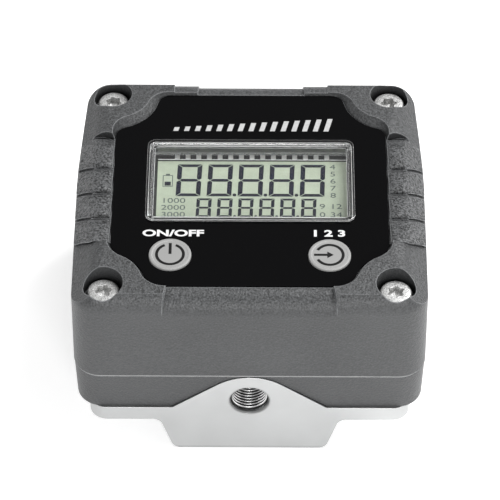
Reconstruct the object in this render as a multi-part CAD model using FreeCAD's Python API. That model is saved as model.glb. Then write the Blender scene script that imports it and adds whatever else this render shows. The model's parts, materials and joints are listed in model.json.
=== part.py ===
import FreeCAD, Part
import math
import os

# Oval gear flow meter. Millimetres, X to the right, Y to the back, Z up.
# The origin is the middle of the foot's underside, and the front faces -Y.

# Overall sizes
width = 89.9
depth = 80.0
parting_height = 28.3

# Metal measuring body
foot_height = 11.4
foot_half_width = 19.6
foot_top_half_width = 23.0
foot_corner = 2.5
foot_inner_corner = 2.6
flange_thickness = 4.6
flange_side_gap = 3.95
flange_corner = 4.5
hump_slope_deg = 37.6
hump_crown_radius = 13.1
hump_top_drop = 0.56
hump_clearance = 0.4

# Ports, one at each end of the flow
port_height = 18.8
port_major_radius = 4.864
port_mouth_radius = 5.15
port_chamfer = 0.5
port_depth = 12.0
passage_radius = 3.0

# Oval gears; ratios are shares of the mean radius
gear_ovality_ratio = 0.185
gear_hub_ratio = 0.354
gear_relief_ratio = 0.63
magnet_circle_ratio = 0.73
gear_teeth = 18
tooth_tip_width = 0.65
tooth_root_width = 1.4
tooth_addendum = 0.65
tooth_dedendum = 0.78
gear_hub_recess = 0.6
gear_running_gap = 0.1
axle_radius = 2.5
axle_running_fit = 0.04
axle_seat_fit = 0.01
axle_chamfer = 0.3
axle_end_gap = 0.1
axle_floor_depth = 4.0
axle_cover_depth = 1.6
magnet_radius = 1.5
magnet_length = 3.0
magnet_fit = 0.03
magnet_sunk = 0.1

# Measuring chamber
chamber_floor = 15.2
chamber_drop = 2.0
chamber_gap = 0.15
chamber_wall = 7.5
chamber_side_clearance = 8.245
o_ring_section = 0.55
o_ring_offset = 1.9
o_ring_groove_half_width = 0.9
cover_thickness = 3.0
cover_inset = 0.2
cover_screw_offset = 5.1
cover_screw_radius = 1.5
cover_screw_length = 9.0
cover_screw_head_radius = 2.75
cover_screw_head_height = 1.9
cover_screw_head_edge = 0.4
cover_screw_hole_gap = 0.15
cover_screw_tip_room = 1.0

# Plastic casing
lower_inset = 0.15
lower_taper = 0.35
lower_edge_break = 0.3
end_inset = 0.1
upper_draft = 0.4
casing_corner = 7.0
front_narrowing = 0.4
back_narrowing = 1.85
side_bend_y = 9.0
side_bend_radius = 150.0
wall = 2.6
parting_gap = 0.12
gasket_inset = 0.5
gasket_width = 1.1
hump_opening_gap = 0.15
rim_radius = 5.5
crown_flat = 21.0
crown_fall = 0.05
crown_radius = 40.0
shoulder_width = 7.0
shoulder_fall = 0.86
shoulder_radius = 8.0
column_radius = 6.4

# Top deck between the four corner pads
fascia_drop = 5.0
fascia_thickness = 0.6
fascia_gap = 0.12
deck_side_margin = 9.95
deck_end_margin = 6.2
deck_thickness = 3.2
pad_rise = 1.6
pad_top_radius = 9.4
front_pad_base_radius = 10.4
front_pad_blend = 5.6
back_pad_base_radius = 11.9
back_pad_blend = 3.5
side_wall_run = 0.8
notch_inset = 14.9
notch_flare = 1.6
notch_rounding = 5.0
step_width = 5.8
step_height = 0.7

# Finger grips on the two sides
grip_count = 4
grip_front_gap = 14.0
grip_back_gap = 15.7
grip_pitch = 8.75
grip_drop = 1.9
grip_rise = 0.85
grip_lip_radius = 0.8
thumb_notch_radius = 5.4
thumb_notch_inset = 6.05
thumb_notch_bulge = 1.5
thumb_notch_depth = 0.8

# Casing screws
screw_side_inset = 8.75
screw_end_inset = 6.6
screw_radius = 2.0
screw_thread_fit = 0.01
screw_clearance = 0.25
screw_head_radius = 3.95
screw_head_height = 2.8
screw_head_edge = 0.45
screw_seat_drop = 4.9
screw_tip_height = 12.4
counterbore_radius = 4.95

# Window and display
window_side_margin = 8.4
window_back_margin = 16.9
window_button_gap = 11.35
window_corner = 2.2
window_flange = 0.6
window_rim_height = 0.8
window_rim_width = 1.3
window_plate = 1.8
window_skirt = 1.2
window_gap = 0.1
window_skirt_gap = 1.1
display_plate = 1.1
display_lift = 0.5
display_side_inset = 0.9
display_front_inset = 3.2
display_back_inset = 2.4
display_ledge = 2.2
pin_count = 15
pin_row_inset = 6.3
pin_row_shift = 0.35
pin_width = 1.25
pin_thickness = 0.3
pin_reach = 1.6
display_frame_wall = 1.1
display_frame_rise = 0.7
display_frame_corner = 1.0
display_gap = 0.5
backing_thickness = 0.3
backing_inset = 0.5

# Push buttons
button_side_margin = 15.1
button_front_margin = 10.5
button_radius = 5.33
button_gap = 0.17
button_proud = 0.45
button_collar = 0.9
button_collar_height = 1.0
button_collar_drop = 1.3
button_stem_radius = 1.5
button_travel = 0.4
button_bevel = 0.35

# Circuit board and its parts
board_room = 2.35
board_thickness = 1.6
board_side_inset = 1.0
board_end_inset = 2.8
board_corner_cut = 9.5
board_corner_radius = 1.5
post_radius = 2.7
post_side_inset = 3.0
post_end_inset = 14.5
board_screw_radius = 1.1
board_screw_length = 5.0
board_screw_head_radius = 2.1
board_screw_head_height = 1.4
board_screw_hole_gap = 0.15
switch_size = 6.0
switch_height = 2.3
switch_floor = 0.4
plunger_radius = 1.7
plunger_rise = 0.9
plunger_sunk = 0.6
plunger_gap = 0.1
chip_height = 1.3
chip_shift = 0.5

# Sensor board on the chamber cover
sensor_end = 9.0
sensor_depth = 8.0
sensor_thickness = 0.8
reed_radius = 0.9
reed_length = 12.0

# Battery tray and cells
tray_rise = 3.9
tray_floor_thickness = 0.8
tray_skirt = 1.6
tray_gap = 0.25
cell_radius = 5.25
cell_length = 43.7
cell_tip_radius = 1.9
cell_tip_length = 0.8
cell_middle_y = 4.0
cell_spacing = 11.4
cell_gap = 0.15
cell_wall_thickness = 1.2
cell_wall_height = 6.0
contact_thickness = 0.4
spring_length = 3.4
spring_half_height = 3.2
spring_width = 5.0
spring_strip = 0.4
spring_lift = 1.0

# Heights that follow from the sizes above, from the foot up
flange_top = foot_height + flange_thickness
chamber_top = parting_height - chamber_drop
cover_top = chamber_top + cover_thickness
tray_floor = parting_height + tray_rise
tray_top = tray_floor + tray_floor_thickness
board_height = tray_top + cell_gap + 2 * cell_radius + board_room
board_top = board_height + board_thickness
display_bottom = board_top + display_lift
display_top = display_bottom + 2 * display_plate
fascia_height = display_top + fascia_drop
deck_height = fascia_height - fascia_thickness
deck_underside = deck_height - deck_thickness
window_bottom = display_top + window_skirt_gap
pad_height = fascia_height + pad_rise
over_top = pad_height + 1.0
grip_height = pad_height - grip_drop
screw_seat_height = fascia_height - screw_seat_drop
collar_top = deck_height - button_collar_drop
stem_bottom = board_top + switch_height + plunger_rise

# Places in plan that follow from the sizes above
casing_half_width = width / 2
casing_half_depth = depth / 2 - end_inset
screw_x = width / 2 - screw_side_inset
screw_y = depth / 2 - screw_end_inset
deck_half_width = width / 2 - deck_side_margin
deck_half_depth = depth / 2 - deck_end_margin
notch_half_width = deck_half_width - notch_inset
button_x = deck_half_width - button_side_margin
button_y = button_front_margin - deck_half_depth
window_half_width = deck_half_width - window_side_margin
window_front = button_y + window_button_gap
window_back = deck_half_depth - window_back_margin
display_half_width = window_half_width - display_side_inset
display_front = window_front + display_front_inset
display_back = window_back - display_back_inset
board_half_width = deck_half_width - board_side_inset
board_half_depth = deck_half_depth - board_end_inset
post_x = board_half_width - post_side_inset
post_y = board_half_depth - post_end_inset
grip_front = grip_front_gap - screw_y
grip_back = screw_y - grip_back_gap
thumb_notch_x = width / 2 - thumb_notch_inset

# Gear train, which fills the width that the chamber's wall leaves
gear_room = width / 2 - chamber_side_clearance - chamber_wall - chamber_gap - tooth_addendum
gear_mean_radius = gear_room / (2 + gear_ovality_ratio)
gear_x = gear_mean_radius
gear_ovality = gear_mean_radius * gear_ovality_ratio
gear_thickness = chamber_top - chamber_floor - 2 * gear_running_gap
magnet_circle = gear_mean_radius * magnet_circle_ratio
chamber_radius = gear_mean_radius + gear_ovality + tooth_addendum + chamber_gap
block_radius = chamber_radius + chamber_wall
hump_end = block_radius + hump_clearance


def vec(x, y, z=0.0):
    return FreeCAD.Vector(x, y, z)


def plan(z):
    """Place flat points on a level plane at height z."""
    return lambda u, v: vec(u, v, z)


def front_plane(y):
    """Place flat points on an upright plane that faces the front."""
    return lambda u, v: vec(u, y, v)


def side_plane(x):
    """Place flat points on an upright plane that faces the side."""
    return lambda u, v: vec(x, u, v)


def box(x0, x1, y0, y1, z0, z1):
    return Part.makeBox(x1 - x0, y1 - y0, z1 - z0, vec(x0, y0, z0))


def cylinder(x, y, z0, z1, radius):
    return Part.makeCylinder(radius, z1 - z0, vec(x, y, z0))


def fuse_all(solids):
    result = solids[0]
    for solid in solids[1:]:
        result = result.fuse(solid)
    return result


def cut_all(solid, tools):
    for tool in tools:
        solid = solid.cut(tool)
    return solid


def rounded_polygon(points, radii, place):
    """Closed wire with a round corner at each point; a radius of 0 stays sharp."""
    count = len(points)
    starts = []
    edges = []
    ends = []
    for i in range(count):
        corner = vec(*points[i])
        before = (vec(*points[i - 1]) - corner).normalize()
        after = (vec(*points[(i + 1) % count]) - corner).normalize()
        if radii[i] == 0:
            starts.append(corner)
            ends.append(corner)
            edges.append(None)
            continue
        half_angle = before.getAngle(after) / 2
        reach = radii[i] / math.tan(half_angle)
        bisector = (before + after).normalize()
        middle = corner + bisector * (radii[i] / math.sin(half_angle) - radii[i])
        starts.append(corner + before * reach)
        ends.append(corner + after * reach)
        edges.append(middle)
    outline = []
    for i in range(count):
        start = place(starts[i].x, starts[i].y)
        end = place(ends[i].x, ends[i].y)
        if edges[i] is not None:
            middle = place(edges[i].x, edges[i].y)
            outline.append(Part.Arc(start, middle, end).toShape())
        following = starts[(i + 1) % count]
        target = place(following.x, following.y)
        if end.distanceToPoint(target) > 1e-6:
            outline.append(Part.makeLine(end, target))
    return Part.Wire(outline)


def rounded_rectangle(x0, x1, y0, y1, radius, place):
    points = [(x0, y0), (x1, y0), (x1, y1), (x0, y1)]
    return rounded_polygon(points, [radius] * 4, place)


def prism(wire, direction):
    return Part.Face(wire).extrude(direction)


def mirrored_x(solid):
    return solid.mirror(vec(0, 0, 0), vec(1, 0, 0))


def at_corners(x, y):
    return [(sx * x, sy * y) for sx in (-1, 1) for sy in (-1, 1)]


def casing_outline(inset, z):
    """The casing seen from above: its sides bend and narrow toward both ends."""
    half_depth = casing_half_depth - inset
    middle = casing_half_width - inset
    front = middle - front_narrowing
    back = middle - back_narrowing
    points = [
        (-front, -half_depth),
        (front, -half_depth),
        (middle, side_bend_y),
        (back, half_depth),
        (-back, half_depth),
        (-middle, side_bend_y),
    ]
    corner = casing_corner - min(inset, wall)
    radii = [corner, corner, side_bend_radius, corner, corner, side_bend_radius]
    return rounded_polygon(points, radii, plan(z))


def casing_block(inset, z0, z1, base_inset=None):
    """Block with the casing's outline; the inset at its foot may differ."""
    if base_inset is None:
        base_inset = inset
    return Part.makeLoft([casing_outline(base_inset, z0), casing_outline(inset, z1)], True, True)


def pad_arcs(half_width, half_depth, pad, blend):
    """Arcs that lead from the deck's side round one pad to the deck's end."""
    end_x = screw_x - math.sqrt((pad + blend) ** 2 - (screw_y - half_depth + blend) ** 2)
    side_y = screw_y - math.sqrt((pad + blend) ** 2 - (screw_x - half_width + blend) ** 2)
    end_centre = vec(end_x, half_depth - blend)
    side_centre = vec(half_width - blend, side_y)
    screw = vec(screw_x, screw_y)

    def arc_points(centre, first, last, radius):
        bisector = ((first - centre) + (last - centre)).normalize()
        return [first, centre + bisector * radius, last]

    end_touch = screw + (end_centre - screw) * (pad / (pad + blend))
    side_touch = screw + (side_centre - screw) * (pad / (pad + blend))
    return [
        arc_points(side_centre, vec(half_width, side_y), side_touch, blend),
        arc_points(screw, side_touch, end_touch, pad),
        arc_points(end_centre, end_touch, vec(end_x, half_depth), blend),
    ]


def deck_outline(side_grow, rise, z):
    """Outline of the sunk deck; its pads' walls lean back by their share of the rise."""
    half_width = deck_half_width + side_grow
    half_depth = deck_half_depth + side_grow
    arcs = {}
    for sy, base, blend in ((1, back_pad_base_radius, back_pad_blend),
                            (-1, front_pad_base_radius, front_pad_blend)):
        run = rise * (base - pad_top_radius)
        arcs[sy] = pad_arcs(half_width, half_depth, base - run, blend + run)
    edges = []
    last = None
    for sx, sy in ((1, 1), (-1, 1), (-1, -1), (1, -1)):
        quarter = arcs[sy]
        if sx * sy < 0:
            quarter = [list(reversed(points)) for points in reversed(quarter)]
        for points in quarter:
            placed = [vec(sx * p.x, sy * p.y, z) for p in points]
            if last is not None and last.distanceToPoint(placed[0]) > 1e-6:
                edges.append(Part.makeLine(last, placed[0]))
            edges.append(Part.Arc(*placed).toShape())
            last = placed[2]
    edges.append(Part.makeLine(last, edges[0].firstVertex().Point))
    return Part.Wire(edges)


def stadium(radius, z0, z1):
    """Two round ends about the gear centres, joined by straight sides."""
    left = cylinder(-gear_x, 0, z0, z1, radius)
    right = cylinder(gear_x, 0, z0, z1, radius)
    return fuse_all([left, right, box(-gear_x, gear_x, -radius, radius, z0, z1)])


def hump(gap, y0, y1):
    """Rise over a port, seen from the front: sloping sides and a round top."""
    slope = math.radians(hump_slope_deg)
    crown = parting_height - hump_top_drop + gap
    tip = crown + (hump_crown_radius + gap) * (1 / math.cos(slope) - 1)
    low_half_width = (tip - foot_height) / math.tan(slope)
    points = [(-low_half_width, foot_height), (low_half_width, foot_height), (0, tip)]
    wire = rounded_polygon(points, [0, 0, hump_crown_radius + gap], front_plane(y0))
    return prism(wire, vec(0, y1 - y0, 0))


def cover_screw_places():
    """Screw places round the chamber: fanned round each end."""
    circle = chamber_radius + cover_screw_offset
    places = []
    for side in (-1, 1):
        for angle in (-90, -30, 30, 90):
            x = side * (gear_x + circle * math.cos(math.radians(angle)))
            places.append((x, circle * math.sin(math.radians(angle))))
    return places


def port_bore(side):
    """Tapped port with its chamfered mouth and the passage to the chamber."""
    face = side * depth / 2
    inward = vec(0, -side, 0)
    bore = Part.makeCylinder(port_major_radius, port_depth, vec(0, face, port_height), inward)
    mouth = Part.makeCone(port_mouth_radius, port_major_radius, port_chamfer,
                          vec(0, face, port_height), inward)
    passage_length = depth / 2 - chamber_radius / 2
    passage = Part.makeCylinder(passage_radius, passage_length,
                                vec(0, face, port_height), inward)
    return fuse_all([bore, mouth, passage])


def meter_body():
    root = foot_top_half_width + 2 * foot_inner_corner
    foot_points = [
        (-foot_half_width, 0),
        (foot_half_width, 0),
        (foot_top_half_width, foot_height),
        (root, foot_height),
        (root, flange_top),
        (-root, flange_top),
        (-root, foot_height),
        (-foot_top_half_width, foot_height),
    ]
    foot_radii = [foot_corner, foot_corner, foot_inner_corner, 0, 0, 0, 0, foot_inner_corner]
    foot_wire = rounded_polygon(foot_points, foot_radii, front_plane(-depth / 2))
    foot = prism(foot_wire, vec(0, depth, 0))
    flange_half = width / 2 - flange_side_gap
    flange_wire = rounded_rectangle(-flange_half, flange_half, -depth / 2, depth / 2,
                                    flange_corner, plan(foot_height))
    flange = prism(flange_wire, vec(0, 0, flange_thickness))
    front_hump = hump(0, -depth / 2, -hump_end)
    back_hump = hump(0, hump_end, depth / 2)
    block = stadium(block_radius, foot_height, chamber_top)
    bridge_half = passage_radius + chamber_wall
    bridge = box(-bridge_half, bridge_half, -hump_end, hump_end, foot_height, chamber_top)
    body = fuse_all([foot, flange, front_hump, back_hump, block, bridge])
    body = body.removeSplitter()
    cuts = [port_bore(-1), port_bore(1)]
    for side in (-1, 1):
        x = side * gear_x
        cuts.append(cylinder(x, 0, chamber_floor, chamber_top, chamber_radius))
        cuts.append(cylinder(x, 0, chamber_floor - axle_floor_depth, chamber_top,
                             axle_radius + axle_seat_fit))
    groove_mean = chamber_radius + o_ring_offset
    groove_bottom = chamber_top - 2 * o_ring_section
    groove = stadium(groove_mean + o_ring_groove_half_width, groove_bottom, chamber_top)
    groove = groove.cut(stadium(groove_mean - o_ring_groove_half_width,
                                groove_bottom, chamber_top))
    cuts.append(groove)
    hole_depth = cover_screw_length - cover_thickness + cover_screw_tip_room
    for x, y in cover_screw_places():
        cuts.append(cylinder(x, y, chamber_top - hole_depth, chamber_top,
                             cover_screw_radius + screw_thread_fit))
    for x, y in at_corners(screw_x, screw_y):
        cuts.append(cylinder(x, y, foot_height, flange_top, screw_radius + screw_thread_fit))
    return cut_all(body, cuts)


def chamber_cover():
    cover = stadium(block_radius - cover_inset, chamber_top, cover_top)
    cuts = []
    for side in (-1, 1):
        cuts.append(cylinder(side * gear_x, 0, chamber_top, chamber_top + axle_cover_depth,
                             axle_radius + axle_seat_fit))
    for x, y in cover_screw_places():
        cuts.append(cylinder(x, y, chamber_top, cover_top,
                             cover_screw_radius + cover_screw_hole_gap))
    return cut_all(cover, cuts)


def chamber_o_ring():
    """Round seal lying in its groove round the chamber."""
    mean = chamber_radius + o_ring_offset
    z = chamber_top - o_ring_section
    parts = []
    for side in (-1, 1):
        ring = Part.makeTorus(mean, o_ring_section, vec(side * gear_x, 0, z), vec(0, 0, 1))
        far = side * (gear_x + block_radius)
        outer = box(min(side * gear_x, far), max(side * gear_x, far),
                    -block_radius, block_radius, z - o_ring_section, z + o_ring_section)
        parts.append(ring.common(outer))
        parts.append(Part.makeCylinder(o_ring_section, 2 * gear_x,
                                       vec(-gear_x, side * mean, z), vec(1, 0, 0)))
    return fuse_all(parts)


def round_head_screw(x, y, seat, radius, length, head_radius, head_height, head_edge):
    """Plain screw with a broken head edge, its tip pointing down."""
    head = cylinder(x, y, seat, seat + head_height, head_radius)
    rim = [e for e in head.Edges if e.BoundBox.ZMin > seat + head_height - 1e-4]
    head = head.makeChamfer(head_edge, rim)
    shank = cylinder(x, y, seat - length, seat, radius)
    tip = [e for e in shank.Edges if e.BoundBox.ZMax < seat - length + 1e-4]
    return head.fuse(shank.makeChamfer(radius / 4, tip))


def chamber_cover_screws():
    screws = []
    for x, y in cover_screw_places():
        screws.append(round_head_screw(x, y, cover_top, cover_screw_radius, cover_screw_length,
                                       cover_screw_head_radius, cover_screw_head_height,
                                       cover_screw_head_edge))
    return Part.makeCompound(screws)


def gear_axle(side):
    bottom = chamber_floor - axle_floor_depth
    top = chamber_top + axle_cover_depth
    pin = cylinder(side * gear_x, 0, bottom, top - axle_end_gap, axle_radius)
    return pin.makeChamfer(axle_chamfer, [e for e in pin.Edges if e.BoundBox.ZLength < 1e-6])


def pitch_radius(angle):
    return gear_mean_radius + gear_ovality * math.cos(2 * angle)


def gear_outline(z):
    """Oval pitch curve that carries teeth of one width, evenly spaced in angle."""
    points = []
    for tooth in range(gear_teeth):
        middle = 2 * math.pi * tooth / gear_teeth
        corners = (
            (-tooth_root_width / 2, -tooth_dedendum),
            (-tooth_tip_width / 2, tooth_addendum),
            (tooth_tip_width / 2, tooth_addendum),
            (tooth_root_width / 2, -tooth_dedendum),
        )
        for across, out in corners:
            angle = middle + across / pitch_radius(middle)
            radius = pitch_radius(angle) + out
            points.append(vec(radius * math.cos(angle), radius * math.sin(angle), z))
    return Part.makePolygon(points + [points[0]])


def oval_gear(side, turned):
    """Gear with an axle bore, shallow face reliefs and two magnet pockets."""
    bottom = chamber_floor + gear_running_gap
    top = bottom + gear_thickness
    gear = prism(gear_outline(bottom), vec(0, 0, gear_thickness))
    relief = cylinder(0, 0, top - gear_hub_recess, top, gear_mean_radius * gear_relief_ratio)
    relief = relief.cut(cylinder(0, 0, bottom, top, gear_mean_radius * gear_hub_ratio))
    pockets = [relief, cylinder(0, 0, bottom, top, axle_radius + axle_running_fit)]
    for direction in (-1, 1):
        pockets.append(cylinder(direction * magnet_circle, 0,
                                top - magnet_length - 2 * magnet_sunk, top,
                                magnet_radius + magnet_fit))
    gear = cut_all(gear, pockets)
    gear.rotate(vec(0, 0, 0), vec(0, 0, 1), turned)
    gear.translate(vec(side * gear_x, 0, 0))
    return gear


def gear_magnets(side, turned):
    """Two magnet pins sunk just below the top face of a gear."""
    top = chamber_floor + gear_running_gap + gear_thickness - magnet_sunk
    pins = []
    for direction in (-1, 1):
        pins.append(cylinder(direction * magnet_circle, 0, top - magnet_length, top,
                             magnet_radius))
    group = Part.makeCompound(pins)
    group.rotate(vec(0, 0, 0), vec(0, 0, 1), turned)
    group.translate(vec(side * gear_x, 0, 0))
    return group


def lower_housing():
    """Frame between the metal flange and the display housing."""
    top = parting_height - parting_gap
    shoulder = top - lower_edge_break
    outer = casing_block(lower_inset, flange_top, shoulder, lower_inset + lower_taper)
    outer = outer.fuse(casing_block(lower_inset + lower_edge_break, shoulder, top, lower_inset))
    hollow = casing_block(wall + lower_inset, flange_top, top)
    for x, y in at_corners(screw_x, screw_y):
        hollow = hollow.cut(cylinder(x, y, flange_top, top, column_radius))
    cuts = [hollow, hump(hump_opening_gap, -depth, depth)]
    for x, y in at_corners(screw_x, screw_y):
        cuts.append(cylinder(x, y, flange_top, top, screw_radius + screw_clearance))
    return cut_all(outer, cuts)


def housing_gasket():
    """Flat seal in the parting line, set in from the outside."""
    bottom = parting_height - parting_gap
    outer = casing_block(lower_inset + gasket_inset, bottom, bottom + 2 * parting_gap)
    inner = casing_block(lower_inset + gasket_inset + gasket_width,
                         bottom, bottom + 2 * parting_gap)
    return outer.cut(inner)


def grip_cut(side):
    """Space above one side's finger grips, with a toothed underside."""
    points = [(grip_back, over_top), (grip_back, grip_height)]
    radii = [0, 0]
    for panel in reversed(range(grip_count)):
        front = grip_front + grip_pitch * panel
        points.append((front, grip_height + grip_rise))
        points.append((front, grip_height))
        radii.extend([grip_lip_radius, 0])
    points[-1] = (grip_front, over_top)
    radii[-2] = 0
    wire = rounded_polygon(points, radii, side_plane(deck_half_width))
    space = prism(wire, vec(deck_side_margin, 0, 0))
    thumb_y = grip_back + thumb_notch_bulge - thumb_notch_radius
    thumb = cylinder(thumb_notch_x, thumb_y, grip_height - thumb_notch_depth, over_top,
                     thumb_notch_radius)
    space = space.fuse(thumb.cut(box(0, width, -depth, grip_back, 0, over_top)))
    return space if side > 0 else mirrored_x(space)


def notch_cut(side, half_width, flare, level):
    """Channel that runs from the deck over the rounded end of the casing."""
    inner = deck_half_depth - deck_end_margin / 2
    outer = depth / 2
    turn = outer - upper_draft - notch_rounding
    drop = notch_rounding * (1 - math.sin(math.pi / 4))
    middle = vec(0, outer - upper_draft - drop, level - drop)
    foot = level - notch_rounding
    profile = Part.Wire([
        Part.makeLine(vec(0, inner, over_top), vec(0, inner, level)),
        Part.makeLine(vec(0, inner, level), vec(0, turn, level)),
        Part.Arc(vec(0, turn, level), middle, vec(0, outer - upper_draft, foot)).toShape(),
        Part.makeLine(vec(0, outer - upper_draft, foot), vec(0, outer, foot)),
        Part.makeLine(vec(0, outer, foot), vec(0, outer, over_top)),
        Part.makeLine(vec(0, outer, over_top), vec(0, inner, over_top)),
    ])
    reach = half_width + abs(flare)
    channel = Part.Face(profile).extrude(vec(2 * reach, 0, 0))
    channel.translate(vec(-reach, 0, 0))
    sides = [
        (-half_width, inner),
        (half_width, inner),
        (half_width + flare, outer),
        (-half_width - flare, outer),
    ]
    trim = prism(rounded_polygon(sides, [0] * 4, plan(foot)), vec(0, 0, over_top - foot))
    channel = channel.common(trim)
    if side < 0:
        return channel.mirror(vec(0, 0, 0), vec(0, 1, 0))
    return channel


def notches():
    """One channel at the front, and a stepped one at the back."""
    return [
        notch_cut(-1, notch_half_width, notch_flare, fascia_height),
        notch_cut(1, notch_half_width, 0, fascia_height + step_height),
        notch_cut(1, notch_half_width - step_width, -step_height, fascia_height),
    ]


def crown_prism():
    """Space under the crowned top, seen from the side."""
    half_depth = depth / 2
    end_height = pad_height - crown_fall * (half_depth - crown_flat)
    points = [
        (-half_depth, parting_height),
        (half_depth, parting_height),
        (half_depth, end_height),
        (crown_flat, pad_height),
        (-crown_flat, pad_height),
        (-half_depth, end_height),
    ]
    radii = [0, 0, 0, crown_radius, crown_radius, 0]
    return prism(rounded_polygon(points, radii, side_plane(-width)), vec(2 * width, 0, 0))


def shoulder_prism():
    """Space under the sloping shoulders of the two sides, seen from the front."""
    half_width = width / 2
    flat = half_width - shoulder_width
    low = pad_height - shoulder_fall * shoulder_width
    points = [
        (-half_width, parting_height),
        (half_width, parting_height),
        (half_width, low),
        (flat, pad_height),
        (-flat, pad_height),
        (-half_width, low),
    ]
    radii = [0, 0, 0, shoulder_radius, shoulder_radius, 0]
    return prism(rounded_polygon(points, radii, front_plane(-depth)), vec(0, 2 * depth, 0))


def housing_shell():
    """Outer form: a rounded block under a crowned top with sloping shoulders."""
    block = casing_block(upper_draft, parting_height + parting_gap, pad_height, 0)
    rim = [e for e in block.Edges if e.BoundBox.ZMin > pad_height - 1e-4]
    block = block.makeFillet(rim_radius, rim)
    return block.common(crown_prism()).common(shoulder_prism())


def upper_housing():
    shell = housing_shell()
    rise = (over_top - deck_height) / (pad_height - deck_height)
    deck_floor = deck_outline(0, 0, deck_height)
    deck_mouth = deck_outline(rise * side_wall_run, rise, over_top)
    shell = shell.cut(Part.makeLoft([deck_floor, deck_mouth], True, True))
    shell = cut_all(shell, [grip_cut(-1), grip_cut(1)] + notches())
    hollow = casing_block(wall, parting_height + parting_gap, deck_underside)
    for x, y in at_corners(screw_x, screw_y):
        hollow = hollow.cut(cylinder(x, y, parting_height, deck_underside, column_radius))
    for x, y in at_corners(post_x, post_y):
        hollow = hollow.cut(cylinder(x, y, board_top, deck_underside, post_radius))
    cuts = [hollow]
    for x, y in at_corners(screw_x, screw_y):
        cuts.append(cylinder(x, y, parting_height, over_top, screw_radius + screw_clearance))
        cuts.append(cylinder(x, y, screw_seat_height, over_top, counterbore_radius))
    for x, y in at_corners(post_x, post_y):
        cuts.append(cylinder(x, y, board_top, board_top + board_screw_length,
                             board_screw_radius + screw_thread_fit))
    opening = window_wire(-window_flange, deck_underside)
    cuts.append(prism(opening, vec(0, 0, over_top - deck_underside)))
    for x in (-button_x, button_x):
        cuts.append(cylinder(x, button_y, deck_underside, over_top, button_radius + button_gap))
        cuts.append(cylinder(x, button_y, deck_underside, collar_top,
                             button_radius + button_collar + button_gap))
    return cut_all(shell, cuts)


def window_wire(grow, z):
    """Outline of the window, larger by the amount given."""
    half_width = window_half_width + grow
    corner = max(window_corner + grow, window_gap)
    return rounded_rectangle(-half_width, half_width, window_front - grow,
                             window_back + grow, corner, plan(z))


def fascia():
    """Thin gloss overlay that fills the sunk deck."""
    sheet = prism(deck_outline(-fascia_gap, -fascia_gap, deck_height),
                  vec(0, 0, fascia_thickness))
    cuts = [prism(window_wire(-window_flange, deck_height), vec(0, 0, fascia_thickness))]
    for x in (-button_x, button_x):
        cuts.append(cylinder(x, button_y, deck_height, fascia_height,
                             button_radius + button_gap))
    return cut_all(sheet, cuts)


def window_lens():
    """Clear window: a flange on the overlay, a raised rim and a skirt below."""
    rim_top = fascia_height + window_rim_height
    plate_top = fascia_height + window_rim_height / 3
    flange = prism(window_wire(0, fascia_height), vec(0, 0, window_rim_height))
    neck_grow = -window_flange - window_gap
    neck = prism(window_wire(neck_grow, window_bottom), vec(0, 0, fascia_height - window_bottom))
    lens = flange.fuse(neck)
    rim_edges = []
    for edge in lens.Edges:
        if edge.BoundBox.ZMin > rim_top - 1e-4:
            rim_edges.append(edge)
    lens = lens.makeFillet(window_rim_height / 3, rim_edges)
    dish = prism(window_wire(-window_rim_width, plate_top), vec(0, 0, window_rim_height))
    room = prism(window_wire(neck_grow - window_skirt, window_bottom),
                 vec(0, 0, plate_top - window_plate - window_bottom))
    return cut_all(lens, [dish, room])


def display_glass():
    """Two glass plates; the lower one has a ledge for the pins at its back."""
    bottom = display_bottom
    lower = box(-display_half_width, display_half_width, display_front,
                display_back + display_ledge, bottom, bottom + display_plate)
    upper = box(-display_half_width, display_half_width, display_front, display_back,
                bottom + display_plate, display_top)
    return lower.fuse(upper).removeSplitter()


def display_backing():
    half_width = display_half_width - backing_inset
    return box(-half_width, half_width, display_front + backing_inset, display_back,
               display_bottom - backing_thickness, display_bottom)


def display_pins():
    """Row of clip pins that carry the glass on the board."""
    ledge_top = display_bottom + display_plate
    back = display_back + display_ledge
    pitch = 2 * (display_half_width - pin_row_inset) / (pin_count - 1)
    pins = []
    for i in range(pin_count):
        x = pin_row_shift + (i - (pin_count - 1) / 2) * pitch
        left = x - pin_width / 2
        right = x + pin_width / 2
        leg = box(left, right, back, back + pin_thickness, board_top,
                  ledge_top + pin_thickness)
        finger = box(left, right, back - pin_reach, back + pin_thickness,
                     ledge_top, ledge_top + pin_thickness)
        pins.append(leg.fuse(finger).removeSplitter())
    return Part.makeCompound(pins)


def display_frame():
    """Open frame that stands on the board and locates the glass."""
    left = -display_half_width - display_gap
    front = display_front - display_gap
    back = display_back + display_ledge + pin_thickness + display_gap
    rim = display_frame_wall
    outer = rounded_rectangle(left - rim, rim - left, front - rim, back + rim,
                              display_frame_corner, plan(board_top))
    top = display_top + display_frame_rise
    frame = prism(outer, vec(0, 0, top - board_top))
    return frame.cut(box(left, -left, front, back, board_top, top))


def push_button(side):
    """Round cap with a collar under the deck and a stem to its switch."""
    x = side * button_x
    top = fascia_height + button_proud
    cap = cylinder(x, button_y, collar_top - button_travel, top, button_radius)
    cap = cap.makeFillet(button_bevel, [e for e in cap.Edges if e.BoundBox.ZMin > top - 1e-4])
    collar_height = collar_top - button_gap
    collar = cylinder(x, button_y, collar_height - button_collar_height, collar_height,
                      button_radius + button_collar)
    stem = cylinder(x, button_y, stem_bottom, collar_height, button_stem_radius)
    return fuse_all([cap, collar, stem])


def switch_plunger(side):
    bottom = board_top + switch_height - button_travel - plunger_sunk
    return cylinder(side * button_x, button_y, bottom, stem_bottom, plunger_radius)


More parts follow.
